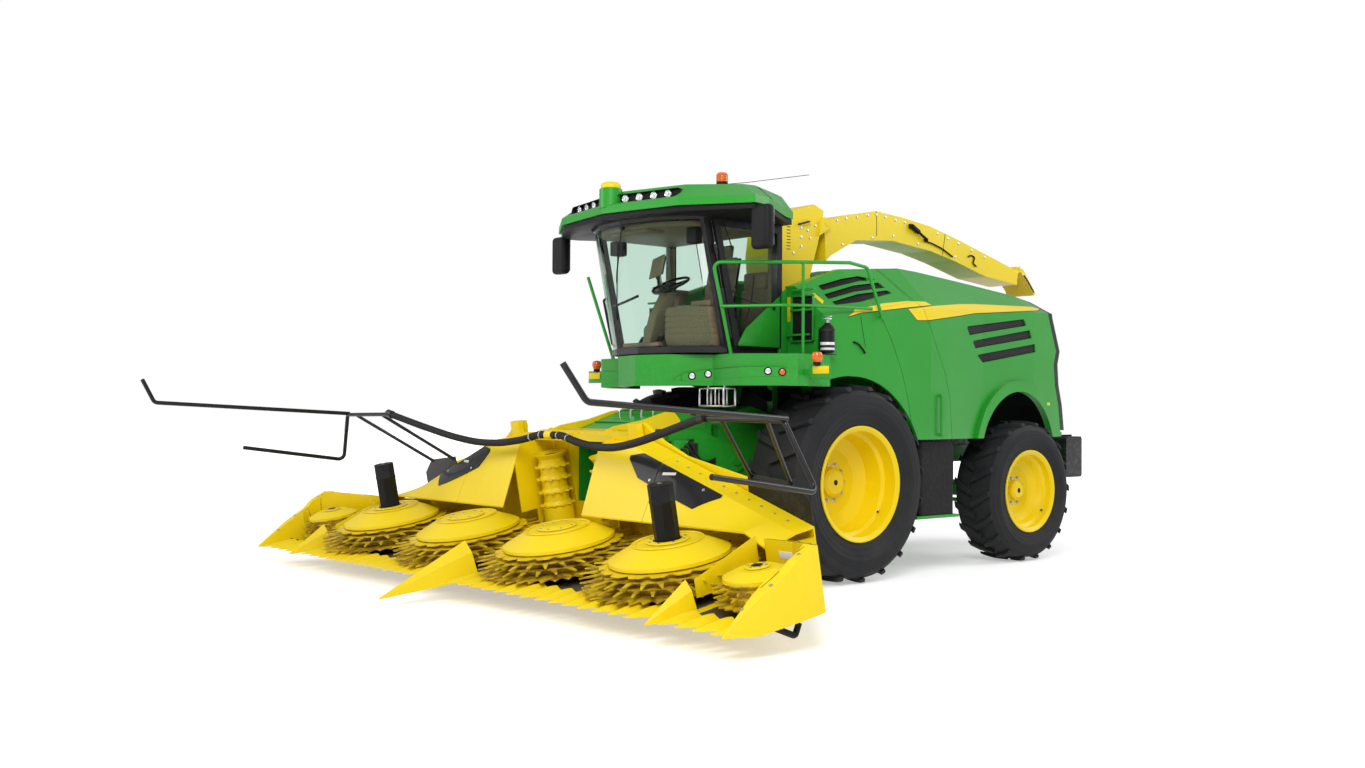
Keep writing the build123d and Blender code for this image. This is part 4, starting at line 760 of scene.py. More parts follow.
def buildGrille(surface, low, high, cell):
    g = grilles
    bm = bmesh.new()
    across = max(2, round(math.dist(pointAlong(low, 0.5), pointAlong(high, 0.5)) / cell))
    count = round(math.dist(low[0], low[-1]) / cell)
    rows = []
    for step in range(across + 1):
        row = []
        for index in range(count + 1):
            share = g["ends"] + (1 - 2 * g["ends"]) * index / count
            a, b = pointAlong(low, share), pointAlong(high, share)
            t = g["edges"] + (1 - 2 * g["edges"]) * step / across
            place = surface.side(a[0] + (b[0] - a[0]) * t, a[1] + (b[1] - a[1]) * t, g["lift"])
            row.append(bm.verts.new(place) if place else None)
        rows.append(row)
    for below, above in zip(rows, rows[1:]):
        for index in range(count):
            corners = (below[index], below[index + 1], above[index + 1], above[index])
            if all(corners):
                bm.faces.new(corners)
    holes = bm.faces[:]
    bmesh.ops.recalc_face_normals(bm, faces=holes)
    bmesh.ops.inset_individual(bm, faces=holes, thickness=g["bar"] / 1000, depth=-g["sink"] / 1000)
    return bm


def addGrilles(g):
    front, rear = newMeshes(2)
    for end, bm, panel in (("front", front, "front_panels"), ("rear", rear, "rear_panel_left")):
        for low, high in g[end]:
            joinInto(bm, buildGrille(Surface(panel), low, high, g["cell"][end]))
    newPiece("frontGrilles", front, "blackPlastic", both=True)
    mirrored = rear.copy()
    flip(mirrored)
    newPiece("rearGrilles_left", rear, "blackPlastic", "side_door_left")
    newPiece("rearGrilles_right", mirrored, "blackPlastic", "side_door_right")


addGrilles(grilles)
print("stripes and grilles in place")

# small fittings on the body's sides

bodyFittings = {
    "latch": {"route": [(-30, 2372), (20, 2360), (80, 2310), (112, 2276)], "stand": 14, "radius": 9,
              "foot": 11},
    "seam": {"route": [(64, 2635), (82, 2540), (108, 2430), (130, 2334)], "stand": 0.5, "radius": 2.6},
    "handle": {"y": 1310, "low": 1445, "high": 1872, "stand": 38, "radius": 15},
    "marker": [(-337, 2845), (-290, 2862), (-267, 2780), (-312, 2744)],
}


def addBodyFittings(b):
    skin = Surface("front_panels", "mid_panels")
    latch, seam, handle, marker = newMeshes(4)
    # latch of the short door, and its seam as a thin rubber strip
    c = b["latch"]
    addTube(latch, skin.sideRoute(c["route"], c["stand"]), c["radius"], bend=20)
    for y, z in (c["route"][0], c["route"][-1]):
        addRound(latch, skin.side(y, z, -4), skin.side(y, z, c["stand"] + 2), c["foot"])
    newPiece("doorLatches", latch, "blackPlastic", both=True)
    c = b["seam"]
    addTube(seam, skin.sideRoute(c["route"], c["stand"]), c["radius"], bend=0, sides=8)
    newPiece("doorSeams", seam, "blackPlastic", both=True)
    # upright grab handle on the middle panel
    c = b["handle"]
    route = [skin.side(c["y"], z, lift) for z, lift in ((c["high"] - 15, -3), (c["high"], c["stand"]),
                                                        (c["low"], c["stand"]), (c["low"] + 15, -3))]
    addTube(handle, route, c["radius"], bend=26)
    newPiece("sideHandles", handle, "greenPaint", both=True)
    # yellow marker by the front louvres
    addPlate(marker, skin.sideRoute(b["marker"], 0.6), toLeft * 0.003, 1)
    newPiece("sideMarkers", marker, "yellowPaint", both=True)


addBodyFittings(bodyFittings)

extinguisher = {
    "place": (1462, -460, 2255),
    # radius and height of each spun shape
    "shell": [(0, 0), (56, 0), (68, 12), (68, 225), (54.4, 257), (30.6, 275), (23.8, 289), (0, 289)],
    "band": [(68.6, 24), (69.8, 26), (69.8, 98), (68.6, 100), (68.6, 24)],
    "neck": [(0, 287), (20, 287), (20, 311), (12, 319), (0, 319)],
    "ring": [(69, -12), (73, -12), (73, 12), (69, 12), (69, -12)],
    "ringZ": (60, 215),
    # shift from the foot, size and lean of each block
    "levers": [((0, 0, 327), (24, 92, 12), 0), ((0, 12, 345), (20, 80, 8), 16)],
    "bracket": [((-80, 0, 137.5), (20, 70, 215), 0), ((-40, 20, -12), (150, 150, 10), 0)],
}


def addExtinguisher(e):
    foot = fromMachine(*e["place"])
    newPiece("extinguisher", spunPart(e["shell"], foot, toTop, 40), "blackPlastic")
    newPiece("extinguisherBand", spunPart(e["band"], foot, toTop, 40), "whitePlate", slotName="black_plastic")
    head, clamp = spunPart(e["neck"], foot, toTop, 24), bmesh.new()
    for z in e["ringZ"]:
        addSpun(clamp, e["ring"], foot + toTop * z / 1000, toTop, 40)
    for bm, blocks in ((head, e["levers"]), (clamp, e["bracket"])):
        for shift, size, lean in blocks:
            addBlock(bm, foot + Vector(shift) / 1000, size, leaning(lean))
    newPiece("extinguisherHead", head, "groundSteel")
    newPiece("extinguisherClamp", clamp, "blackPaint")


addExtinguisher(extinguisher)

flags = {
    "place": (1747, -863, 2080),
    # shift from that place and size of each block
    "plates": [((-20, 22, -20), (270, 12, 135)), ((-180, 70, -20), (330, 30, 60))],
    "reflector": [((0, 12, -5), (205, 8, 72))],
    "lampPlace": (1700, -853, 2195),
    "lamp": [(0, -46), (37.44, -46), (52, -18), (52, 22), (41.6, 44), (0, 52)],
    "lampFoot": {"z": (-75, -44), "radius": 36.4},
}
kickPanel = {"x": 893.5, "corners": [(-552, 2828), (-1010, 2490), (-1105, 2345), (-1105, 2318), (-552, 2318)],
             "thick": 12}


def addFlags(f):
    # plates and amber lamps that stand out beside the cab
    plates, faces, lamps, feet = newMeshes(4)
    centre, lampPlace = placesOf(f["place"], f["lampPlace"])
    for bm, blocks in ((plates, f["plates"]), (faces, f["reflector"])):
        for shift, size in blocks:
            addBlock(bm, centre + Vector(shift) / 1000, size)
    addSpun(lamps, f["lamp"], lampPlace, toTop, 28)
    addRound(feet, *(lampPlace + toTop * z / 1000 for z in f["lampFoot"]["z"]), f["lampFoot"]["radius"])
    newPiece("flagPlates", plates, "greenPaint", both=True)
    newPiece("flagReflectors", faces, "yellowPaint", both=True)
    newPiece("flagLamps", lamps, "amberLens", both=True)
    newPiece("flagLampBases", feet, "blackPlastic", both=True)


def addKickPanel(k):
    # painted panel on the cab door's lower rear corner
    bm = bmesh.new()
    addPlate(bm, [fromMachine(k["x"], y, z) for y, z in k["corners"]], toLeft * k["thick"] / 1000, 3)
    newPiece("doorKickPanel", bm, "greenPaint", "cab_door")


addFlags(flags)
addKickPanel(kickPanel)
print("body fittings in place")

# painted shade low on the crop duct, and rust-worn paint on the header's rotors, by height

shadeAndRustBands = {
    # metres under which the second colour shows: from the ground for the duct, where it is painted shade
    # under the deck, in the header for the rotors, where it is rust
    "duct": {"below": 2.30, "soft": 0.03, "colour": (0.006, 0.012, 0.007, 1), "patches": 1.0, "even": 1.0},
    "rotors": {"below": -0.150, "soft": 0.03, "colour": (0.30, 0.17, 0.012, 1), "patches": 9, "even": 0.35},
    "patchEdges": (0.42, 0.62),
}


# a second colour painted low on a part: painted shade on the duct, rust on the rotors
def shadeAndRustPaint(name, base, s, upward):

    def overlay(tree, tone):
        lift = addNode(tree, "ShaderNodeVectorMath", operation="DOT_PRODUCT")
        feed(tree, lift.inputs[0], objectPlace(tree))
        lift.inputs[1].default_value = upward
        edge = s["below"] + (machine["headerPlace"].dot(upward) if s["below"] < 0 else 0)
        mask = mapRange(tree, lift.outputs["Value"], edge + s["soft"], edge - s["soft"])
        noise = pattern(tree, "Noise", Scale=s["patches"], Detail=6)
        mask = calc(tree, "MULTIPLY", mask, mapRange(tree, noise, *shadeAndRustBands["patchEdges"], s["even"]))
        return mixColour(tree, mask, tone, s["colour"])

    finish[name] = buildFinish(name, finishes[base], overlay)


# the crop duct is painted near-black below the deck: painted shade
shadeAndRustPaint("ductPaintedShade", "yellowPaint", shadeAndRustBands["duct"], toTop)
shadeAndRustPaint("rotorPaint", "yellowPaint", shadeAndRustBands["rotors"], headerWay(0, 0, 1))
nodes["crop_duct"].data.materials[0] = finish["ductPaintedShade"]
for kind in ("inner", "outer", "small"):
    for side in ("left", "right"):
        nodes["rotor_" + kind + "_" + side].data.materials[0] = finish["rotorPaint"]

# roof: a black tray under it, lamps in the brow, dome, beacon and aerial

roof = {
    "lowPlan": [(1000, -470), (1060, -620), (1500, -1290), (1540, -1500), (920, -1900), (0, -2080)],
    "cabPlan": [(0, -1890), (426, -1830), (708, -1688), (858, -1496), (858, -470)],
    "tray": (3536, 3588),
    "browY": -2004.4,
    "browSlope": 0.215,
    "browDepth": 45,
    "lampZ": 3727.2,
    "lampX": [187.5, 357.5, 527.5, 697.5],
    "bezelShape": [(33, 5), (40, 5), (40, 27), (37, 31), (34, 29), (32, 20), (33, 5)],
    "lensShape": [(0, 8), (32.5, 8), (32.5, 22), (21, 27), (0, 29)],
    "buttonShape": [(0, 29.5), (9, 29.0), (9, 31), (0, 32)],
    "recessX": 442.5,
    "recessSize": (850, 92),
    "liner": [(1, -44), (1, -1), (9, -4), (9, -40)],  # how much smaller each row is, and its depth
    "dome": (0, -1975, 3845),
    "domeShape": [(0, -8), (93, -8), (97, 6), (97, 30), (88, 48), (66, 60), (30, 66), (0, 67)],
    "collarShape": [(97, -20), (104, -16), (104, -4), (99, 0), (96, -2), (97, -20)],
    "beacon": (900, -1330, 3820),
    "beaconShape": [(0, 0), (66, 0), (66, 12), (56, 20), (56, 44), (50, 48), (0, 48)],
    "beaconGlass": [(0, 48), (52, 48)],
    "beaconRings": [(54, 0), (57, 5), (54, 12)],  # repeated all the way up
    "beaconRingZ": range(50, 125, 15),
    "beaconCap": [(50, 130), (38, 140), (0, 143)],
    "aerial": ((620, -1560, 3815), (1350, -610, 3968)),
    "sideStrip": {"y": (-1190, -1160, -1130), "z": (3668, 3800)},
    "lining": [(0, -1800), (395, -1745), (650, -1620), (770, -1460), (770, -560)],
    "liningZ": 3452,
}


def slotOutline(length, height, sides=10):
    # corners of a slot in its own plane, in millimetres
    r, reach = height / 2, (length - height) / 2
    angles = [math.pi * i / sides for i in range(sides + 1)]
    right = [(reach + r * math.sin(a), r * math.cos(a)) for a in angles]
    return right + [(-x, -z) for x, z in right]


def addBrow(r):
    # recesses and lamps, in a frame whose x runs along the brow and whose -y points out
    turn = Matrix.Rotation(math.atan(r["browSlope"]), 4, "Z")
    out = turn.to_3x3() @ -toBack

    def onBrow(x):
        return fromMachine(x, r["browY"] + r["browSlope"] * x + r["browDepth"], r["lampZ"])

    liner, lens, bezels = newMeshes(3)
    length, height = r["recessSize"]
    rows = [[liner.verts.new((x / 1000, depth / 1000, z / 1000))
             for x, z in slotOutline(length - less, height - less)] for less, depth in r["liner"]]
    for near, far in ((0, 1), (3, 0), (3, 2)):
        addBand(liner, rows[near], rows[far])
    liner.faces.new(rows[1])
    liner.faces.new(rows[2])
    bmesh.ops.transform(liner, matrix=Matrix.Translation(onBrow(r["recessX"])) @ turn, verts=liner.verts)
    for centre in (onBrow(x) for x in r["lampX"]):
        addSpun(bezels, r["bezelShape"], centre, out, 32)
        addSpun(lens, r["lensShape"], centre, out, 32)
        addSpun(bezels, r["buttonShape"], centre, out, 16)
    newPiece("browLiners", liner, "blackPlastic", both=True)
    newPiece("browBezels", bezels, "chrome", both=True)
    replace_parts(newPiece("browLamps", lens, "lens", both=True), "lamps")


def addTray(r):
    # the roof's own outline drawn in a little, with the cab's outline cut out
    bm = bmesh.new()
    low, high = r["tray"]
    outline = [(x * 0.985, y + (18 if y < -1200 else 0)) for x, y in r["lowPlan"]] + r["cabPlan"]
    addPlate(bm, [fromMachine(x, y, low) for x, y in outline], toTop * (high - low) / 1000, 6)
    newPiece("roofTray", bm, "blackPlastic", both=True)


def addRoof(r):
    aerial, joint, lining = newMeshes(3)
    # dome on its collar, and the beacon
    dome, beacon = placesOf(r["dome"], r["beacon"])
    newPiece("receiverDome", spunPart(r["domeShape"], dome, toTop, 48), "yellowPaint")
    newPiece("receiverCollar", spunPart(r["collarShape"], dome, toTop, 48), "greenPaint")
    newPiece("beaconBase", spunPart(r["beaconShape"], beacon, toTop, 36), "blackPlastic")
    rings = [(radius, z + rise) for z in r["beaconRingZ"] for radius, rise in r["beaconRings"]]
    glass = r["beaconGlass"] + rings + r["beaconCap"]
    newPiece("beaconLens", spunPart(glass, beacon, toTop, 36), "amberLens")
    # aerial with its foot
    foot, tip = placesOf(*r["aerial"])
    addRound(aerial, foot - toTop * 0.012, foot + toTop * 0.02, 22)
    addTube(aerial, [foot + toTop * 0.012, foot.lerp(tip, 0.5) - toTop * 0.006, tip], 3, bend=0, sides=8)
    newPiece("aerial", aerial, "blackPlastic")
    # dark joint across the roof's side
    skin, strip = Surface("cab_roof"), r["sideStrip"]
    for y, nextY in zip(strip["y"], strip["y"][1:]):
        low, high = strip["z"]
        corners = skin.sideRoute([(y, low), (nextY, low), (nextY, high), (y, high)], 1.0)
        if corners:
            addPlate(joint, corners, Vector((0.002, 0, 0.001)), 0.4)
    newPiece("roofJoints", joint, "blackPlastic", both=True)
    # head lining
    outline = r["lining"] + [(-x, y) for x, y in reversed(r["lining"]) if x]
    addPlate(lining, [fromMachine(x, y, r["liningZ"]) for x, y in outline], toTop * 0.055, 18)
    addBlock(lining, fromMachine(0, -1640, 3440), (560, 230, 50), rounding=18)
    newPiece("headLining", lining, "tanTrim")


addTray(roof)
addBrow(roof)
addRoof(roof)
print("roof in place")

# cab: black frame, tan inside

for name in ("cab_frame", "cab_door"):
    nodes[name].data.materials[0] = finish["blackPaint"]

cabInside = {
    "tubPlan": [(250, -1500), (400, -1478), (600, -1372), (700, -1290), (752, -1180), (752, -1128),
                (250, -1128)],
    "tubHeights": (2312, 2700),
    "columnSide": [(-1540, 2312), (-1470, 2312), (-1180, 2860), (-1215, 2905), (-1300, 2870), (-1440, 2640)],
    "columnWide": 124,
    "wheel": {"place": (0, -1205, 2958), "tilt": 26, "radius": 192, "rim": 14},
    "floorMat": [(-800, -1170), (-660, -1370), (-400, -1520), (0, -1575), (400, -1520), (660, -1370),
                 (800, -1170), (800, -520), (-800, -520)],
    # place, size, rounding, segments and lean: console and armrest, lockers, pillar trims, sill
    "tan": [((560, -1230, 2735), (290, 150, 62), 14, 3), ((-395, -800, 2500), (190, 560, 370), 26, 3),
            ((-380, -880, 2925), (130, 420, 60), 22, 3), ((-380, -760, 2790), (80, 90, 260), 12, 2),
            ((560, -524, 2620), (420, 84, 600), 22, 3), ((-560, -524, 2560), (420, 84, 480), 22, 3),
            ((540, -528, 3000), (330, 70, 180), 30, 4), ((-768, -545, 2880), (46, 60, 1130), 12, 2),
            ((768, -545, 2880), (46, 60, 1130), 12, 2), ((0, -1565, 2338), (560, 70, 46), 14, 2)],
    # column's head, console's panel and grip, ceiling box, pedals
    "dark": [((0, -1236, 2925), (150, 130, 70), 16, 3, 26), ((-380, -1010, 2962), (120, 150, 22), 6, 2),
             ((-380, -1058, 3090), (52, 44, 78), 14, 3, 10), ((-700, -1330, 3370), (110, 150, 150), 16, 2),
             ((-150, -1450, 2375), (90, 20, 130), 5, 2, -35), ((110, -1450, 2375), (90, 20, 130), 5, 2, -35)],
    # two ends and a radius: grip's stalk, lever, pedal stalks
    "rods": [((-380, -1040, 2960), (-380, -1055, 3070), 17), ((90, -1300, 2660), (250, -1420, 2560), 9),
             ((-150, -1440, 2372), (-150, -1530, 2330), 8), ((110, -1440, 2372), (110, -1530, 2330), 8)],
    "tubes": [[(50, -1300, 2880), (130, -1440, 2930), (205, -1525, 3040)],
              [(-640, -1440, 2760), (-250, -1600, 2775), (-80, -1560, 2830)]],
    "monitor": [((215, -1545, 3095), (280, 30, 185)), ((215, -1561, 3097), (306, 16, 208))],
    "monitorTurn": (-14, -18),
    "speaker": ((640, -1450, 3390), (130, 110, 190)),
}


def addTub(bm, plan, heights):
    # trainer's seat folded down, as a ribbed tub
    low, high = heights
    centreX, centreY = (sum(values) / len(plan) for values in zip(*plan))
    levels = [(low, 0.90), (low + 60, 0.97)]
    for z in (low + 110 + step * 58 for step in range(4)):
        levels += [(z, 1.0), (z + 8, 0.965), (z + 16, 1.0)]
    levels += [(high - 70, 1.0), (high - 20, 0.97), (high, 0.90)]
    part = bmesh.new()
    rows = [[part.verts.new(fromMachine(centreX + (x - centreX) * share, centreY + (y - centreY) * share, z))
             for x, y in plan] for z, share in levels]
    for below, above in zip(rows, rows[1:]):
        addBand(part, below, above)
    part.faces.new(rows[0])
    part.faces.new(rows[-1])
    uprights = [e for e in part.edges if abs(e.verts[0].co.z - e.verts[1].co.z) > 0.004]
    bmesh.ops.recalc_face_normals(part, faces=part.faces)
    roundEdges(part, uprights, 26, 3)
    joinInto(bm, part)


def addCabInside(c):
    tan, dark, ring = newMeshes(3)
    addTub(tan, c["tubPlan"], c["tubHeights"])
    wide = c["columnWide"]
    addPlate(tan, [fromMachine(-wide / 2, y, z) for y, z in c["columnSide"]], toLeft * (wide / 1000), 14)
    addBlocks(tan, c["tan"])
    addBlocks(dark, c["dark"])
    for start, end, radius in c["rods"]:
        addRound(dark, *placesOf(start, end), radius)
    for points in c["tubes"]:
        addTube(dark, placesOf(*points), 13)
    lean, aside = c["monitorTurn"]
    turn = leaning(lean) @ Matrix.Rotation(math.radians(aside), 3, "Z")
    for bm, rounding, segments, (place, size) in zip((dark, tan), (9, 6), (3, 2), c["monitor"]):
        addBlock(bm, fromMachine(*place), size, turn, rounding, segments)
    place, size = c["speaker"]
    addBlock(dark, fromMachine(*place), size, Matrix.Rotation(0.2, 3, "Z"), 24, 3)
    addPlate(dark, [fromMachine(x, y, 2311) for x, y in c["floorMat"]], toTop * 0.008, 2)
    newPiece("cabTrim", tan, "tanTrim")
    newPiece("cabControls", dark, "blackPlastic")
    # the wheel stands for the column's node
    w = c["wheel"]
    centre, tilt = fromMachine(*w["place"]), leaning(w["tilt"])
    axis = tilt @ toTop
    addSpun(ring, [(w["radius"] + w["rim"] * math.cos(a), w["rim"] * math.sin(a))
                   for a in (2 * math.pi * i / 12 for i in range(13))], centre, axis, 48)
    addSpun(ring, [(0, -26), (42, -26), (52, -8), (50, 8), (34, 20), (0, 24)], centre, axis, 28)
    for a in (math.radians(angle) for angle in (90, 210, 330)):
        spoke = tilt @ Vector((math.cos(a), -math.sin(a), 0))
        addRound(ring, centre + spoke * 0.04 - axis * 0.006, centre + spoke * (w["radius"] - 6) / 1000, 11)
    addRound(ring, centre - axis * 0.08, centre - axis * 0.015, 30)
    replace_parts(newPiece("steeringWheel", ring, "blackPlastic"), "console")


addCabInside(cabInside)

# seat: padded cushions on a suspension box

seat = {
    "seatCushion": {"centre": (0, -790, 2708), "size": (500, 500, 104), "cap": 20, "lean": 0},
    "seatBack": {"centre": (0, -520, 3030), "size": (460, 96, 560), "cap": 18, "lean": -11},
    "seatHeadrest": {"centre": (0, -470, 3345), "size": (270, 74, 160), "cap": 12, "lean": -9},
}
seatBase = {
    "blocks": [((0, -780, 2420), (420, 430, 210), 18, 3), ((0, -780, 2590), (470, 480, 116), 16, 3),
               ((0, -780, 2530), (486, 496, 8), 3, 2), ((0, -780, 2550), (486, 496, 8), 3, 2),
               ((0, -780, 2570), (486, 496, 8), 3, 2), ((0, -466, 3010), (380, 26, 540), 10, 2, -11)],
    "rods": [((70, -500, 3250), (70, -484, 3340), 7), ((240, -560, 2700), (262, -530, 2800), 20)],
    "armrest": [((285, -760, 2925), (64, 330, 56), 20, 3)],
}
swelling = {"voxel": 0.011, "pressure": 4.0, "frames": 16, "quality": 4}


def addPadded(name, p):
    bm = bmesh.new()
    bmesh.ops.create_cube(bm, size=1)
    bmesh.ops.scale(bm, vec=[length / 1000 - 0.02 for length in p["size"]], verts=bm.verts)
    roundEdges(bm, bm.edges[:], min(p["size"]) * 0.3, 3)
    turn = leaning(p["lean"]).to_4x4()
    bmesh.ops.transform(bm, matrix=Matrix.Translation(fromMachine(*p["centre"])) @ turn, verts=bm.verts)
    pad = newPiece(name, bm, "cloth", crease=80)
    swell(pad, p["cap"] / 1000, swelling)


def swell(pad, cap, s):
    # remesh, inflate for a few frames, and keep no point further out than the cap
    bpy.context.view_layer.objects.active = pad
    remesh = pad.modifiers.new("even", "REMESH")
    remesh.mode, remesh.voxel_size = "VOXEL", s["voxel"]
    depsgraph = bpy.context.evaluated_depsgraph_get()
    mesh = bpy.data.meshes.new_from_object(pad.evaluated_get(depsgraph))
    pad.modifiers.clear()
    cover = pad.data.materials[0]
    pad.data = mesh
    mesh.materials.clear()
    mesh.materials.append(cover)
    start = [v.co.copy() for v in mesh.vertices]
    cloth = pad.modifiers.new("swelling", "CLOTH")
    cloth.settings.use_pressure = True
    cloth.settings.uniform_pressure_force = s["pressure"]
    cloth.settings.effector_weights.gravity = 0
    cloth.settings.quality = s["quality"]
    for frameNumber in range(1, s["frames"] + 1):
        scene.frame_set(frameNumber)
    depsgraph = bpy.context.evaluated_depsgraph_get()
    swollen = bpy.data.meshes.new_from_object(pad.evaluated_get(depsgraph))
    for vertex, first in zip(swollen.vertices, start):
        move = vertex.co - first
        if move.length > cap:
            vertex.co = first + move.normalized() * cap
    pad.modifiers.clear()
    pad.data = swollen
    swollen.shade_smooth()
    scene.frame_set(1)


def addSeat(pads, b):
    for name, pad in pads.items():
        addPadded(name, pad)
    base, armrest = newMeshes(2)
    addBlocks(base, b["blocks"])
    for start, end, radius in b["rods"]:
        for mirror in (-1, 1):
            addRound(base, *placesOf(*((mirror * x, y, z) for x, y, z in (start, end))), radius)
    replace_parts(newPiece("seatBase", base, "blackPlastic"), "driver_seat")
    addBlocks(armrest, b["armrest"])
    newPiece("seatArmrest", armrest, "tanTrim")


addSeat(seat, seatBase)
print("cab inside in place")

# outside of the cab: wipers, grab bars, fixed corner panels, middle rail, mirror shells and glasses

cabOutside = {
    # x, z and lift on the windscreen's left facet
    "wiperArm": [(30, 3470, 6), (20, 3440, 26), (-170, 3050, 22), (-215, 2960, 12)],
    "wiperBlade": [(-90, 3330, 6), (-215, 2960, 8), (-330, 2600, 6)],
    "sideArm": [(902, -1318, 3500), (912, -1312, 3470), (908, -1195, 3235)],
    "doorWiper": [[(900, -640, 2700), (902, -1000, 2762), (900, -1130, 2790)],
                  [(899, -900, 3010), (903, -940, 2752), (899, -1010, 2560)]],
    "doorWiperHub": [(892, -640, 2700), (915, -640, 2700)],
    "doorHandle": [((900, -1120, 2640), (24, 30, 130), 7, 2)],
    "grabBar": [(895, -1335, 2865), (928, -1350, 2850), (930, -1230, 2385), (895, -1212, 2365)],
    "cornerPanel": [(-545, 2833), (-434, 2914), (-434, 2240), (-545, 2240)],
    "cornerPanelX": 862,
    "midRail": [(955, -1392, 2680), (1400, -950, 2690), (1424, -650, 2700), (1446, 196, 2715)],
    "mirrorShell": [((1575, -1444, 3367), (236, 108, 404), 44, 5)],
    "mirrorGlass": {"y": -1388.5, "corners": [(1482, 3200), (1668, 3200), (1668, 3535), (1482, 3535)]},
}


def addCabOutside(c):
    pane = Surface("cab_glass")
    wipers, doorWiper, bars, panels, rail, shells, glasses = newMeshes(7)

    def onScreen(x, z, lift):
        found = pane.hit(fromMachine(x, -2600, z), toBack)
        return found[0] + found[1] * lift / 1000

    addTube(wipers, [onScreen(*spot) for spot in c["wiperArm"]], 7, bend=30)
    addTube(wipers, [onScreen(*spot) for spot in c["wiperBlade"]], 6, bend=0)
    x, z, _ = c["wiperArm"][0]
    addRound(wipers, onScreen(x, z, -2), onScreen(x, z, 30), 20)
    addTube(wipers, placesOf(*c["sideArm"]), 6, bend=15)
    newPiece("wipers", wipers, "blackPlastic")
    for points in c["doorWiper"]:
        addTube(doorWiper, placesOf(*points), 6)
    addRound(doorWiper, *placesOf(*c["doorWiperHub"]), 18)
    addBlocks(doorWiper, c["doorHandle"])
    newPiece("doorWiper", doorWiper, "blackPlastic", "cab_door")
    addTube(bars, placesOf(*c["grabBar"]), 13, bend=26)
    newPiece("pillarGrabBars", bars, "blackPaint", both=True)
    addPlate(panels, [fromMachine(c["cornerPanelX"], y, z) for y, z in c["cornerPanel"]], toLeft * 0.03, 4)
    newPiece("cabCornerPanels", panels, "greenPaint", both=True)
    addTube(rail, placesOf(*c["midRail"]), 15, bend=80)
    newPiece("middleRail", rail, "greenPaint")
    addBlocks(shells, c["mirrorShell"])
    newPiece("mirrorShells", shells, "blackPlastic", both=True)
    m = c["mirrorGlass"]
    addPlate(glasses, [fromMachine(x, m["y"], z) for x, z in m["corners"]], toBack * 0.002, 0.6)
    newPiece("mirrorGlasses", glasses, "mirrorGlass", both=True)


addCabOutside(cabOutside)
print("cab outside in place")

# header: caps and black posts of the rotors, feed drums' lids

rotorPlaces = {
    "rotor_inner": {"x": 750, "y": 0, "cap": 5.5, "radius": 175, "bolts": 8, "hole": 1},
    "rotor_outer": {"x": 2250, "y": 0, "cap": 5.5, "radius": 175, "bolts": 8, "hole": 118},
    "rotor_small": {"x": 3375, "y": -120, "cap": -69.5, "radius": 92, "bolts": 6, "hole": 1},
}
rotorShapes = {
    "capRings": ((262, 0.0), (285, 1.4)),  # radius and drop of the rings rolled into a large cap
    "smallHub": [(1, 9.5), (40, 9.5), (44, 12), (34, 13), (30, 10.5), (1, 10.5)],
    # height and reach of the outer rotor's eight-sided post
    "post": [(-14, 122), (6, 122), (14, 103), (305, 103), (309, 106), (327, 106), (331, 103), (457, 103)],
    "postTop": 455,
    "postButton": [(1, 4), (22, 4), (22, 9), (14, 12), (1, 12)],
}
feedDrums = {
    "x": 449,
    "y": 856,
    "top": 416,
    "lid": [(1, 2), (111, 2), (111, 6), (60, 9), (56, 20), (30, 24), (1, 24)],
    "boltRing": 84,
}


def headerRing(x, y, radius, z, count, shift=0.0):
    angles = (2 * math.pi * (index + shift) / count for index in range(count))
    return [fromHeader(x + radius * math.cos(a), y + radius * math.sin(a), z) for a in angles]


def addRotorFittings(places, s):
    up = headerWay(0, 0, 1)
    for node, r in places.items():
        caps, dark, bright = newMeshes(3)
        x, y, z, size = r["x"], r["y"], r["cap"], r["radius"]
        centre = fromHeader(x, y, z)
        addSpun(caps, [(r["hole"], -1), (r["hole"], 9), (size - 8, 9), (size, 4), (size, -1)], centre, up, 48)
        addBolts(bright, headerRing(x, y, size - 24, z + 9, r["bolts"], 0.5), up, 8, 6)
        if node == "rotor_small":
            addSpun(dark, s["smallHub"], centre, up, 32)
        else:
            for radius, drop in s["capRings"]:
                addSpun(caps, [(radius - 7, -2 - drop), (radius - 4, 2.5 - drop), (radius + 4, 2.5 - drop),
                               (radius + 7, -2 - drop)], centre, up, 64)
        if node == "rotor_outer":
            rows = [[dark.verts.new(place) for place in headerRing(x, y, reach, level, 8)]
                    for level, reach in s["post"]]
            for below, above in zip(rows, rows[1:]):
                addBand(dark, below, above)
            dark.faces.new(rows[-1])
            addSpun(bright, s["postButton"], fromHeader(x, y, s["postTop"]), up, 24)
        stem = node.title().replace("_", "")
        newPairs(node, (stem + "Cap", caps, "yellowPaint"), (stem + "Black", dark, "blackPlastic"),
                 (stem + "Bolts", bright, "groundSteel"))


def addDrumFittings(d):
    up = headerWay(0, 0, 1)
    for side, sign in (("left", 1), ("right", -1)):
        x = sign * d["x"]
        lid = spunPart(d["lid"], fromHeader(x, d["y"], d["top"]), up, 40)
        newPiece("drumCover" + side.title(), lid, "blackPlastic", "feed_drum_" + side)
        bolts = bmesh.new()
        addBolts(bolts, headerRing(x, d["y"], d["boltRing"], d["top"] + 6, 6), up, 9, 7)
        newPiece("drumBolts" + side.title(), bolts, "groundSteel", "feed_drum_" + side)


addRotorFittings(rotorPlaces, rotorShapes)
addDrumFittings(feedDrums)
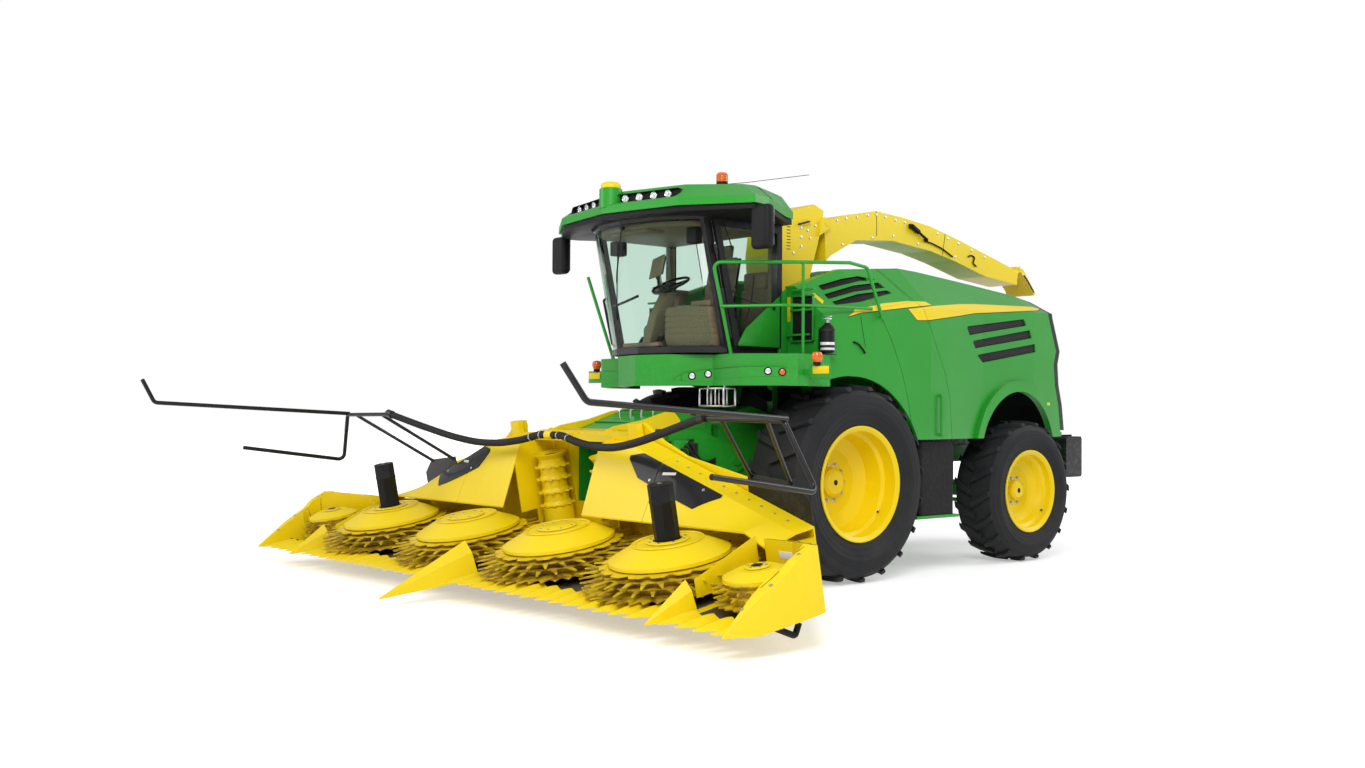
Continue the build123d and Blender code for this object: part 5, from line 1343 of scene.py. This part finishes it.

# covers on the fingers, and the dark sheets between them that stand for painted shade

fingers = {
    "onCentre": range(190, 1331, 190),  # x of the fingers
    "onWing": range(1540, 3641, 190),
    "tip": -850,
    "root": -482,
    "floor": -385,
    "divider": (2940, 80),  # x of the divider and the room that it needs
    "bolts": {"x": 34, "y": -430},
    # share of the length, half width and rise
    "rows": [(0.0, 6, 9), (0.06, 15, 14), (0.25, 38, 30), (0.5, 60, 52), (0.72, 72, 68), (0.9, 72, 77),
             (1.0, 70, 78)],
    "arch": [(-1, 0), (-0.97, 0.12), (-0.6, 0.66), (-0.2, 0.96), (0, 1), (0.2, 0.96), (0.6, 0.66),
             (0.97, 0.12), (1, 0)],
}
# dark sheets between the fingers: painted shade
shadeSheets = {
    "centre": [(0, -478), (1494, -478), (1494, 338), (0, 338)],
    "wing": [(1506, -478), (2900, -478), (2900, 338), (1506, 338)],
    "end": [(3000, -478), (3540, -478), (3480, 60), (3000, 60)],
}


def leafFinger(bm, x, f):
    # leaf-shaped guard drawn over the CAD's pointed one
    rows = []
    for share, half, rise in f["rows"]:
        y = f["tip"] + share * (f["root"] - f["tip"])
        base = f["floor"] - 21 + (1 - share) * 78
        rows.append([bm.verts.new(fromHeader(x + u * half, y, base + w * rise)) for u, w in f["arch"]])
    for near, far in zip(rows, rows[1:]):
        addBand(bm, near, far, closed=False)
        bm.faces.new((near[0], far[0], far[-1], near[-1]))
    bm.faces.new(rows[0])
    bm.faces.new(rows[-1])


def addFingers(f):
    centre, centreBolts, wing, bolts = newMeshes(4)
    divider, room = f["divider"]
    for places, covers, heads in ((f["onCentre"], centre, centreBolts), (f["onWing"], wing, bolts)):
        for x in places:
            if abs(x - divider) < room:
                continue
            leafFinger(covers, x, f)
            addBolts(heads, [fromHeader(x + dx, f["bolts"]["y"], f["floor"] + 1)
                             for dx in (-f["bolts"]["x"], f["bolts"]["x"])], headerWay(0, 0, 1), 9, 7)
    newPiece("fingerCoversCentre", centre, "yellowPaint", "feeder", 50, both=True)
    newPiece("fingerBoltsCentre", centreBolts, "groundSteel", "feeder", both=True)
    newPairs("wing", ("fingerCovers", wing, "yellowPaint", 50), ("fingerBolts", bolts, "groundSteel"))


def addShadeSheets(corners, height):
    thick = headerWay(0, 0, 1) * 0.0015
    for key, outline in corners.items():
        bm = bmesh.new()
        addPlate(bm, [fromHeader(x, y, height) for x, y in outline], thick, 0.4)
        if key == "centre":
            newPiece("floorSheetCentre", bm, "wornSteel", "feeder", both=True)
        else:
            newPairs("wing", ("floorSheet" + key.title(), bm, "wornSteel"))


addFingers(fingers)
addShadeSheets(shadeSheets, fingers["floor"] + 0.5)
print("rotors and fingers in place")

# corrugated hoses from the header's middle out to the wings

hoses = {
    "route": [(50, 577, 690), (190, 577, 690), (420, 552, 642), (760, 508, 608), (1120, 462, 618),
              (1540, 405, 690), (2000, 350, 800), (2471, 307, 915)],
    "bend": 260,
    "radius": 36,
    "ringPitch": 5.5,  # a fourth of one corrugation
    "ringDepths": (0.5, 3.2, 6.0, 3.2),
    "foldFrom": 0.24,
    "foldTo": 0.62,
    "clamps": (0.035, 0.1),
}


def addHoses(h):
    dense = smoothRoute([Vector(p) / 1000 for p in h["route"]], h["bend"], 8)
    lengths = [0]
    for before, after in zip(dense, dense[1:]):
        lengths.append(lengths[-1] + (after - before).length)
    total = lengths[-1]

    def along(distance):
        index = 0
        while index < len(dense) - 2 and distance > lengths[index + 1]:
            index += 1
        share = (distance - lengths[index]) / max(lengths[index + 1] - lengths[index], 1e-9)
        return headerMatrix @ dense[index].lerp(dense[index + 1], min(max(share, 0), 1))

    steps = int(total / (h["ringPitch"] / 1000))
    places = [along(total * index / steps) for index in range(steps + 1)]
    radii = [h["radius"] - h["ringDepths"][index % 4] for index in range(steps + 1)]
    for side in ("left", "right"):
        bm = bmesh.new()
        route = places if side == "left" else [Vector((-p.x, p.y, p.z)) for p in places]
        addTube(bm, route, h["radius"], bend=0, sides=14, radii=radii)
        hose = newPiece("guideHose" + side.title(), bm, "hoseRubber", None, 80)
        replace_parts(hose, "hose_" + side)
        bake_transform(hose)
    clamps = bmesh.new()
    for share in h["clamps"]:
        addRound(clamps, along(total * share), along(total * share + 0.012), h["radius"] + 3)
    newPiece("hoseClamps", clamps, "groundSteel", "feeder", both=True)


addHoses(hoses)

# fittings on the wings' bodies and on the black ridge covers

wingFittings = {
    "seams": [[(3026, 340), (3810, 340)], [(3710, -420), (3770, 300)]],
    "bolts": [(3775, -80), (3775, -380), (3580, 420), (3270, 420), (3770, 560), (3720, -620)],
    "ridgeBolts": {"x": range(1560, 2960, 140), "y": 770},
    "roundPlate": (4230, -150, -230),  # places from which a way on to the skin is looked for
    "label": (3215, -200, -120),
    "labelSize": (0.07, 0.03),
    "skidX": 3700,
    "skid": [(-519, -341), (-327, -424), (-149, -533), (-95, -455)],
    "guard": [(330, 12), (-330, -160), (-330, -300), (330, -300)],
    "guardX": 2905,
}
coverFittings = {
    "slots": [(1560, 1700), (1800, 1940)],
    "slotSides": [(590, 600), (608, 618)],
    "barBolts": [(2040, 545), (2100, 590)],
    "ridgeBolts": [(1300, 560), (1440, 560)],
}


def addWingFittings(w):
    up = headerWay(0, 0, 1)
    skin = Surface("wing_left")
    black, steel, pale, yellow = newMeshes(4)

    def onTop(x, y, lift=0):
        found = skin.hit(fromHeader(x, y, 900), -up)
        return found and found[0] + up * lift / 1000

    def boltsOnTop(spots, radius, height):
        for place in (onTop(x, y, -1) for x, y in spots):
            if place:
                addBolts(steel, [place], up, radius, height)

    for first, second in w["seams"]:
        route = [onTop(*(a + (b - a) * i / 12 for a, b in zip(first, second)), 0.4) for i in range(13)]
        addTube(black, [place for place in route if place], 2.6, bend=0, sides=6)
    boltsOnTop(w["bolts"], 11, 8)
    boltsOnTop([(x, w["ridgeBolts"]["y"]) for x in w["ridgeBolts"]["x"]], 10, 7)
    # blank round plate on the end body's side, and a blank label on the hood's front
    found = skin.hit(fromHeader(*w["roundPlate"]), headerWay(-1, 0, 0))
    if found:
        addSpun(yellow, [(1, 1.5), (34, 1.5), (38, 0)], found[0], found[1], 28)
    found = skin.hit(fromHeader(*w["label"]), headerWay(0, 1, 0))
    if found:
        wide, tall = w["labelSize"]
        corners = [found[0] + headerWay(dx * wide, 0, dz * tall)
                   for dx, dz in ((-1, -1), (1, -1), (1, 1), (-1, 1))]
        addPlate(pale, corners, headerWay(0, -0.002, 0), 0.5)
    # skid's black coat and its bracket
    x = w["skidX"]
    addTube(black, [fromHeader(x, y, z) for y, z in w["skid"]], 23.5, bend=26, sides=16)
    addBlock(black, fromHeader(x, -300, -400), (60, 90, 34), headerTurn.to_3x3(), 4)
    addBolts(steel, [fromHeader(x, y, -383) for y in (-325, -275)], up, 8, 6)
    # inner guard plate between the outer rotor and the divider
    addPlate(yellow, [fromHeader(w["guardX"], y, z) for y, z in w["guard"]], headerWay(0.006, 0, 0), 1.5)
    newPairs("wing", ("wingTrim", black, "blackPlastic"), ("wingBolts", steel, "groundSteel"),
             ("wingPlates", yellow, "yellowPaint"), ("wingLabels", pale, "whitePlate"))


def addCovers(c):
    # slots and bolts, found from the front and above
    for node, body, sign in (("ridge_covers", "feeder", 0), ("guide_bar_left", "wing_left", 1),
                             ("guide_bar_right", "wing_right", -1)):
        skin = Surface(node)
        pale, steel = newMeshes(2)

        def onCover(x, y, z):
            return skin.hit(fromHeader(x, y - 500, z), headerWay(0, 0.7, -0.45))

        for side in (sign,) if sign else (1, -1):
            for x0, x1 in c["slots"] if sign else ():
                (y0, y1), (y3, y2) = c["slotSides"]
                found = [onCover(side * x, y, y + 100) for x, y in ((x0, y0), (x1, y1), (x1, y2), (x0, y3))]
                if all(found):
                    addPlate(pale, [f[0] + f[1] * 0.0003 for f in found], found[-1][1] * 0.0015, 0.4)
            for x, y in c["barBolts" if sign else "ridgeBolts"]:
                found = onCover(side * x, y, y + 80)
                if found:
                    addBolts(steel, [found[0]], found[1], 9, 6)
        stem = body.title().replace("_", "")
        newPiece("coverSlots" + stem, pale, "whitePlate", body)
        newPiece("coverBolts" + stem, steel, "groundSteel", body)


addWingFittings(wingFittings)
addCovers(coverFittings)
print("hoses and wing fittings in place")

# wheels: nuts, plates, valves and rings on the sidewalls

wheelSets = {
    "front": {"nuts": 10, "nutRing": 185, "rings": (640, 700, 760, 800), "plate": 315, "valve": 512},
    "rear": {"nuts": 8, "nutRing": 150, "rings": (520, 570, 620, 650), "plate": 265, "valve": 406},
}


def addWheelFittings(sets):
    for end, w in sets.items():
        low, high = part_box(end + "_tyre_left")
        centreY, centreZ = (low[1] + high[1]) / 2, (low[2] + high[2]) / 2
        rimSkin, tyreSkin = Surface(end + "_rim_left"), Surface(end + "_tyre_left")

        def onFace(skin, radius, angle):
            across, upward = radius / 1000 * math.sin(angle), radius / 1000 * math.cos(angle)
            return skin.hit(Vector((high[0] + 0.3, centreY + across, centreZ + upward)), -toLeft)

        nuts, plate, rubber, dark = newMeshes(4)
        for index in range(w["nuts"]):
            found = onFace(rimSkin, w["nutRing"], 2 * math.pi * (index + 0.5) / w["nuts"])
            if found:
                addBolts(nuts, [found[0] - toLeft * 0.001], toLeft, 16, 16)
                addRound(nuts, found[0] + toLeft * 0.01, found[0] + toLeft * 0.03, 9)
        found = onFace(rimSkin, 20, 0)
        if found:
            addSpun(dark, [(1, 0.6), (26, 0.6), (30, -0.5)], found[0] - toTop * 0.02, toLeft, 28)
        # ring of small bolts on the hub cap's foot
        for index in range(6):
            found = onFace(rimSkin, w["nutRing"] - 62, 2 * math.pi * index / 6)
            if found and found[1].x > 0.8:
                addBolts(nuts, [found[0]], toLeft, 8, 6)
        # blank plate and valve
        found = onFace(rimSkin, w["plate"], math.pi * 1.05)
        if found:
            turn = found[1].to_track_quat("Z", "Y").to_matrix()
            addBlock(plate, found[0] + found[1] * 0.0006, (46, 28, 1.6), turn, 0.4)
        found = onFace(rimSkin, w["valve"], 2.2)
        if found:
            addRound(dark, found[0], found[0] + found[1] * 0.045, 8)
            addRound(nuts, found[0] + found[1] * 0.04, found[0] + found[1] * 0.058, 6)
        # rings moulded into the tyre's sidewall
        for radius in w["rings"]:
            found = onFace(tyreSkin, radius, 0.0)
            if found:
                ridge = [(radius - 5, -1.5), (radius - 2.5, 2.4), (radius + 2.5, 2.4), (radius + 5, -1.5)]
                addSpun(rubber, ridge, Vector((found[0].x, centreY, centreZ)), toLeft, 72)
        newPairs(end + "_wheel", (end + "Nuts", nuts, "groundSteel"), (end + "Plate", plate, "whitePlate"),
                 (end + "Rings", rubber, "tyreRubber"), (end + "Dark", dark, "blackPlastic"))


addWheelFittings(wheelSets)
print("wheels in place")

# fascia under the cab: lamps and raised lips

fascia = {
    "lamps": [(552, 2025, "lens"), (656, 2045, "lens"), (1273, 2068, "lens"), (1372, 2059, "amberLens")],
    "bezel": [(26, -6), (38, -3), (38, 5), (33, 8), (28, 6), (26, -6)],
    "glass": [(0, 2), (28, 2), (26, 6), (12, 9), (0, 9)],
    "upperLip": [(430, 1996), (500, 2058), (640, 2088), (760, 2096), (1180, 2112), (1330, 2114),
                 (1408, 2096)],
    "lowerLip": [(430, 1990), (540, 1972), (640, 1975), (760, 1992), (1200, 2016), (1408, 2016)],
    "lip": 9,
    "seamX": 482,
    "seamZ": range(1960, 2156, 15),
}


def heightOn(line, x):
    # height of a line of (x, z) points
    for first, second in zip(line, line[1:]):
        if x <= second[0]:
            return first[1] + (second[1] - first[1]) * (x - first[0]) / (second[0] - first[0])
    return line[-1][1]


def addFascia(c):
    skin = Surface("fascia")
    dark, green, lens, amber = newMeshes(4)

    def front(x, z, lift=0):
        found = skin.hit(fromMachine(x, -2600, z), toBack)
        return found and (found[0] + found[1] * lift / 1000, found[1])

    for x, z, look in c["lamps"]:
        found = front(x, z)
        if found:
            addSpun(dark, c["bezel"], *found, 32)
            addSpun(lens if look == "lens" else amber, c["glass"], *found, 28)
    # raised lips above and below the lamps leave a shallow recess between them
    low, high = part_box("fascia")
    for line, edge in ((c["upperLip"], high[2] * 1000 - 3), (c["lowerLip"], low[2] * 1000 + 3)):
        rows = []
        for index in range(61):
            x = line[0][0] + (line[-1][0] - line[0][0]) * index / 60
            z = heightOn(line, x)
            spots = [front(x, z, -1), front(x, z, 5), front(x, z + (edge - z) * 0.06, c["lip"]),
                     front(x, edge, c["lip"]), front(x, edge, -1)]
            if all(spots):
                rows.append([green.verts.new(spot[0]) for spot in spots])
        for near, far in zip(rows, rows[1:]):
            addBand(green, near, far, closed=False)
        green.faces.new(rows[0])
        green.faces.new(rows[-1])
    seam = [found[0] for found in (front(c["seamX"], z, 0.2) for z in c["seamZ"]) if found]
    addTube(dark, seam, 2.2, bend=0, sides=6)
    newPiece("fasciaBezels", dark, "blackPlastic", both=True)
    newPiece("fasciaCreases", green, "greenPaint", both=True)
    newPiece("fasciaLens", lens, "lens", both=True)
    newPiece("fasciaAmberLens", amber, "amberLens", both=True)


addFascia(fascia)

# recess with its steps in the body's front face, and the ladder's cage under the platform

frontRecess = {
    "x": (955, 1262),
    "z": (2372, 2832),
    "y": -431,
    "frame": 14,
    "steps": [((1129, -452, 2883), (300, 34, 22), 5, 2), ((1103, -452, 2687), (300, 34, 22), 5, 2),
              ((1064, -452, 2442), (300, 34, 22), 5, 2)],
}
ladder = {
    "y": (-1300, -1150),
    "corners": [(560, 1905), (905, 1905), (905, 1735), (560, 1735)],
    "rungs": (0.33, 0.66),
    "hangers": {"x": (620, 850), "y": -1240, "z": (1905, 1950)},
}


def addRecess(c):
    frames, backs, steps = newMeshes(3)
    (x0, x1), (z0, z1), wide = c["x"], c["z"], c["frame"]

    def addPanel(bm, x0, x1, z0, z1, thick, rounding):
        corners = [fromMachine(x, c["y"], z) for x, z in ((x0, z0), (x1, z0), (x1, z1), (x0, z1))]
        addPlate(bm, corners, toBack * -thick, rounding)

    for sides in ((x0, x1, z0, z0 + wide), (x0, x1, z1 - wide, z1), (x0, x0 + wide, z0, z1),
                  (x1 - wide, x1, z0, z1)):
        addPanel(frames, *sides, 0.026, 3)
    addPanel(backs, x0 + 12, x1 - 12, z0 + 12, z1 - 12, 0.003, 0.6)
    addBlocks(steps, c["steps"])
    newPiece("recessFrames", frames, "greenPaint", both=True)
    newPiece("recessBacks", backs, "blackPlastic", both=True)
    newPiece("recessSteps", steps, "greenPaint", both=True)


def addLadder(c):
    bm = bmesh.new()
    for y in c["y"]:
        corners = [fromMachine(x, y, z) for x, z in c["corners"]]
        for first, second in zip(corners, corners[1:] + corners[:1]):
            addRound(bm, first, second, 11, sides=10)
        for share in c["rungs"]:
            addRound(bm, corners[0].lerp(corners[1], share), corners[3].lerp(corners[2], share), 8, sides=10)
    for x, z in c["corners"]:
        addRound(bm, *(fromMachine(x, y, z) for y in c["y"]), 11, sides=10)
    for x in c["hangers"]["x"]:
        addRound(bm, *(fromMachine(x, c["hangers"]["y"], z) for z in c["hangers"]["z"]), 10, sides=10)
    newPiece("ladderCage", bm, "groundSteel")


addRecess(frontRecess)
addLadder(ladder)

# feeder: loops, bolts and ribs on its lid, valve block and pipes on its left side

feeder = {
    "loopX": (-130, 40, 210),
    "loopY": (-1700, -1640),
    "boltX": (-400, 400),
    "boltY": range(-1900, -1000, 150),
    "ribY": (-1850, -1500, -1150),
    "wall": (1600, -1450, 1300),  # place from which the left side is looked for
    # x counts from the side
    "valve": ((40, -1500, 1330), (78, 190, 150), 6),
    "cover": ((46, -1330, 1320), (80, 70, 110), 8),
    "plate": ((4, -1720, 1210), (6, 120, 120), 2),
    "mainPipe": [(14, -1900, 1420), (26, -1700, 1400), (26, -1560, 1372), (20, -1300, 1405)],
    # each pipe's route, and how far the next pipe lies from it in y and z
    "pipes": [((100, -1570, 1285), (44, 32)), ((150, -1570, 1279), (44, 32)), ((150, -1420, 1160), (30, 16)),
              ((60, -1180, 1110), (18, 26)), ((18, -1010, 1120), (0, 32))],
    "pipeCount": 4,
}


def addFeederFittings(c):
    steel, dark, green, plate = newMeshes(4)
    skin = Surface("feeder_housing")

    def above(x, y, lift=0):
        found = skin.hit(fromMachine(x, y, 2600), -toTop)
        return found and found[0] + toTop * lift / 1000

    for x in c["loopX"]:
        foot, far = (above(x + dx, y, -3) for dx, y in zip((-55, 55), c["loopY"]))
        if foot and far:
            addTube(steel, [foot, foot + toTop * 0.075, far + toTop * 0.075, far], 9, bend=26)
    for x in c["boltX"]:
        for place in (above(x, y, -1) for y in c["boltY"]):
            if place:
                addBolts(steel, [place], toTop, 10, 7)
    for y in c["ribY"]:
        ends = above(-380, y), above(380, y)
        if all(ends):
            addBlock(green, (ends[0] + ends[1]) / 2 + toTop * 0.006, (760, 40, 14), rounding=4)
    wall = skin.hit(fromMachine(*c["wall"]), -toLeft)
    if wall:
        side = wall[0].x * 1000

        def beside(x, y, z):
            return fromMachine(side + x, y, z)

        for bm, (place, size, rounding) in ((green, c["valve"]), (dark, c["cover"]), (plate, c["plate"])):
            addBlock(bm, beside(*place), size, rounding=rounding)
        for index in range(c["pipeCount"]):
            points = [(x, y + index * dy, z + index * dz) for (x, y, z), (dy, dz) in c["pipes"]]
            _, y, z = points[0]
            addRound(steel, beside(70, y, z), beside(104, y, z), 12)
            addTube(dark, [beside(*point) for point in points], 12, bend=90, sides=10)
        addTube(dark, [beside(*point) for point in c["mainPipe"]], 11, bend=70, sides=10)
    newPiece("feederLoops", steel, "groundSteel", "feeder")
    newPiece("feederPipes", dark, "hoseRubber", "feeder")
    newPiece("feederValves", green, "greenPaint", "feeder")
    newPiece("feederPlate", plate, "blackPlastic", "feeder")


addFeederFittings(feeder)

# rear end: hitch, tail lamps, a grille with bars, markers on the side doors

rearEnd = {
    "cheekX": (-0.45, -0.15, 0.15, 0.45),
    "cheekSize": (20, 230, 22),
    "hookZ": 1.40,
    "boltX": (-0.34, 0.34),
    "boltZ": (0.98, 1.10, 1.22),
    "marker": (3675, 1794),
    "lamps": (560, 700),
    "lampZ": 1900,
    "bezel": [(1, -2), (58, -2), (58, 8), (50, 12), (1, 10)],
    "glass": [(1, 11), (44, 11), (40, 17), (1, 20)],
    "barZ": range(2160, 2657, 62),
    "barHalf": 520,
}


def addRearEnd(c):
    cheeks, bolts, markers, bars, red, lens = newMeshes(6)
    low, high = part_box("rear_hitch")
    for x in c["cheekX"]:
        addBlock(cheeks, Vector((x, (low[1] + high[1]) / 2, c["hookZ"])), c["cheekSize"], rounding=4)
    for x in c["boltX"]:
        addBolts(bolts, [Vector((x, high[1] - 0.007, z)) for z in c["boltZ"]], toBack, 14, 9)
    pin = Vector((0, low[1] + 0.06, c["hookZ"]))
    addRound(bolts, pin, pin + toTop * 0.085, 17)
    newPiece("hitchCheeks", cheeks, "blackPlastic")
    newPiece("hitchBolts", bolts, "groundSteel")
    place = Surface("rear_panel_left").side(*c["marker"], 0.6)
    if place:
        addBlock(markers, place, (5, 70, 34), rounding=0.8)
    newPairs("side_door", ("rearMarkers", markers, "yellowPaint"))
    cover = Surface("rear_cover")

    def behind(x, z):
        return cover.hit(fromMachine(x, 7000, z), -toBack)

    for x, glass in zip(c["lamps"], (lens, red)):
        found = behind(x, c["lampZ"])
        if found:
            addSpun(bars, c["bezel"], found[0], found[1], 32)
            addSpun(glass, c["glass"], found[0], found[1], 28)
    mirrorMesh(bars)
    for z in c["barZ"]:
        ends = behind(-c["barHalf"], z), behind(c["barHalf"], z)
        if all(ends):
            middle = (ends[0][0] + ends[1][0]) / 2
            addBlock(bars, middle + toBack * 0.004, (2 * c["barHalf"], 22, 26), rounding=5)
    newPiece("rearBars", bars, "blackPlastic")
    newPiece("tailLamps", red, "redPaint", both=True)
    newPiece("reverseLamps", lens, "lens", both=True)


addRearEnd(rearEnd)
print("chassis parts in place")

# spout: bolts, seams, actuator, hoses, loops at the flap, and marks on the elbow

spout = {
    "bolts": [(1010, 3800), (1160, 3835), (1340, 3868), (1520, 3905), (1660, 3930), (1820, 3916),
              (2000, 3898), (2160, 3885), (2320, 3862), (2760, 3812), (2960, 3768), (3160, 3726),
              (3420, 3664), (3680, 3600), (1100, 3540), (1340, 3600), (1600, 3660), (1960, 3712),
              (2400, 3660), (3100, 3560)],
    "seams": [[(1660, 3972), (1672, 3820), (1668, 3690)], [(2905, 3826), (2870, 3640), (2850, 3565)]],
    "actuator": [(2250, 3855), (2530, 3720)],
    "hose": [(2500, 3705), (2640, 3690), (2840, 3640), (3030, 3560)],
    "loop": [(3340, 3585), (3390, 3610), (3470, 3590), (3430, 3510), (3500, 3480)],
    "flapBolts": [(4500, 3452), (4560, 3395), (4630, 3330), (4700, 3255)],
    "flapRod": [(4520, 3440), (4580, 3392), (4650, 3325), (4730, 3240)],
    "elbowSlots": {"y": 230, "z": range(3420, 3693, 34)},
    "elbowBolts": [(420, 3460), (420, 3560), (420, 3660), (300, 3380), (520, 3640), (560, 3560), (640, 3700)],
    "elbowHandle": [(380, 3700, -2), (380, 3700, 38), (520, 3740, 38), (520, 3740, -2)],  # y, z and lift
    "elbowPipe": [(240, 3330), (400, 3335), (560, 3345), (640, 3250)],
}


def addSpoutParts(s):
    skin = Surface("spout")
    steel, seams, rod = newMeshes(3)
    skin.sideBolts(steel, s["bolts"], 12, 9)
    for line in s["seams"]:
        route = []
        for first, second in zip(line, line[1:]):
            for share in (0, 0.25, 0.5, 0.75, 1):
                place = skin.side(*(a + (b - a) * share for a, b in zip(first, second)), 0.3)
                if place and (not route or (place - route[-1]).length > 0.002):
                    route.append(place)
        addTube(seams, route, 3.5, bend=0, sides=6)
    # actuator with its brackets, hose and loop
    ends = skin.sideRoute(s["actuator"], 34)
    if ends:
        middle = ends[0].lerp(ends[1], 0.45)
        addRound(rod, ends[0], middle, 28)
        addRound(rod, middle, ends[1], 15)
        for place, size in zip(ends, (52, 40)):
            addBlock(rod, place - toLeft * 0.016, (34, size, size), rounding=5)
    for route, bend in ((skin.sideRoute(s["hose"], 14), 60), (skin.sideRoute(s["loop"], 10), 30)):
        if route:
            addTube(rod, route, 9, bend=bend, sides=10)
    newPiece("spoutBolts", steel, "groundSteel", "spout", both=True)
    newPiece("spoutSeams", seams, "blackPlastic", "spout", both=True)
    newPiece("spoutActuator", rod, "blackPlastic", "spout")


def addFlapParts(s):
    skin = Surface("spout_flap")
    rods, bolts = newMeshes(2)
    skin.sideBolts(bolts, s["flapBolts"], 9, 7)
    route = skin.sideRoute(s["flapRod"], 5)
    if route:
        addTube(rods, route, 9, bend=40, sides=10)
    newPiece("flapBolts", bolts, "groundSteel", "flap", both=True)
    newPiece("flapRods", rods, "blackPaint", "flap", both=True)


def addElbowParts(s):
    skin = Surface("spout_turret")
    slots, bolts, pipes = newMeshes(3)
    for place in (skin.side(s["elbowSlots"]["y"], z, 0.4) for z in s["elbowSlots"]["z"]):
        if place:
            addBlock(slots, place, (2, 56, 9), rounding=0.5)
    skin.sideBolts(bolts, s["elbowBolts"], 12, 9)
    handle = [skin.side(*spot) for spot in s["elbowHandle"]]
    if all(handle):
        addTube(pipes, handle, 10, bend=20, sides=10)
    pipe = skin.sideRoute(s["elbowPipe"], 26)
    if pipe:
        addTube(pipes, pipe, 12, bend=60, sides=10)
    newPiece("elbowSlots", slots, "blackPlastic", "turret")
    newPiece("elbowBolts", bolts, "groundSteel", "turret")
    newPiece("elbowPipes", pipes, "blackPaint", "turret")


addSpoutParts(spout)
addFlapParts(spout)
addElbowParts(spout)
print("spout parts in place")

print("all pieces in place")
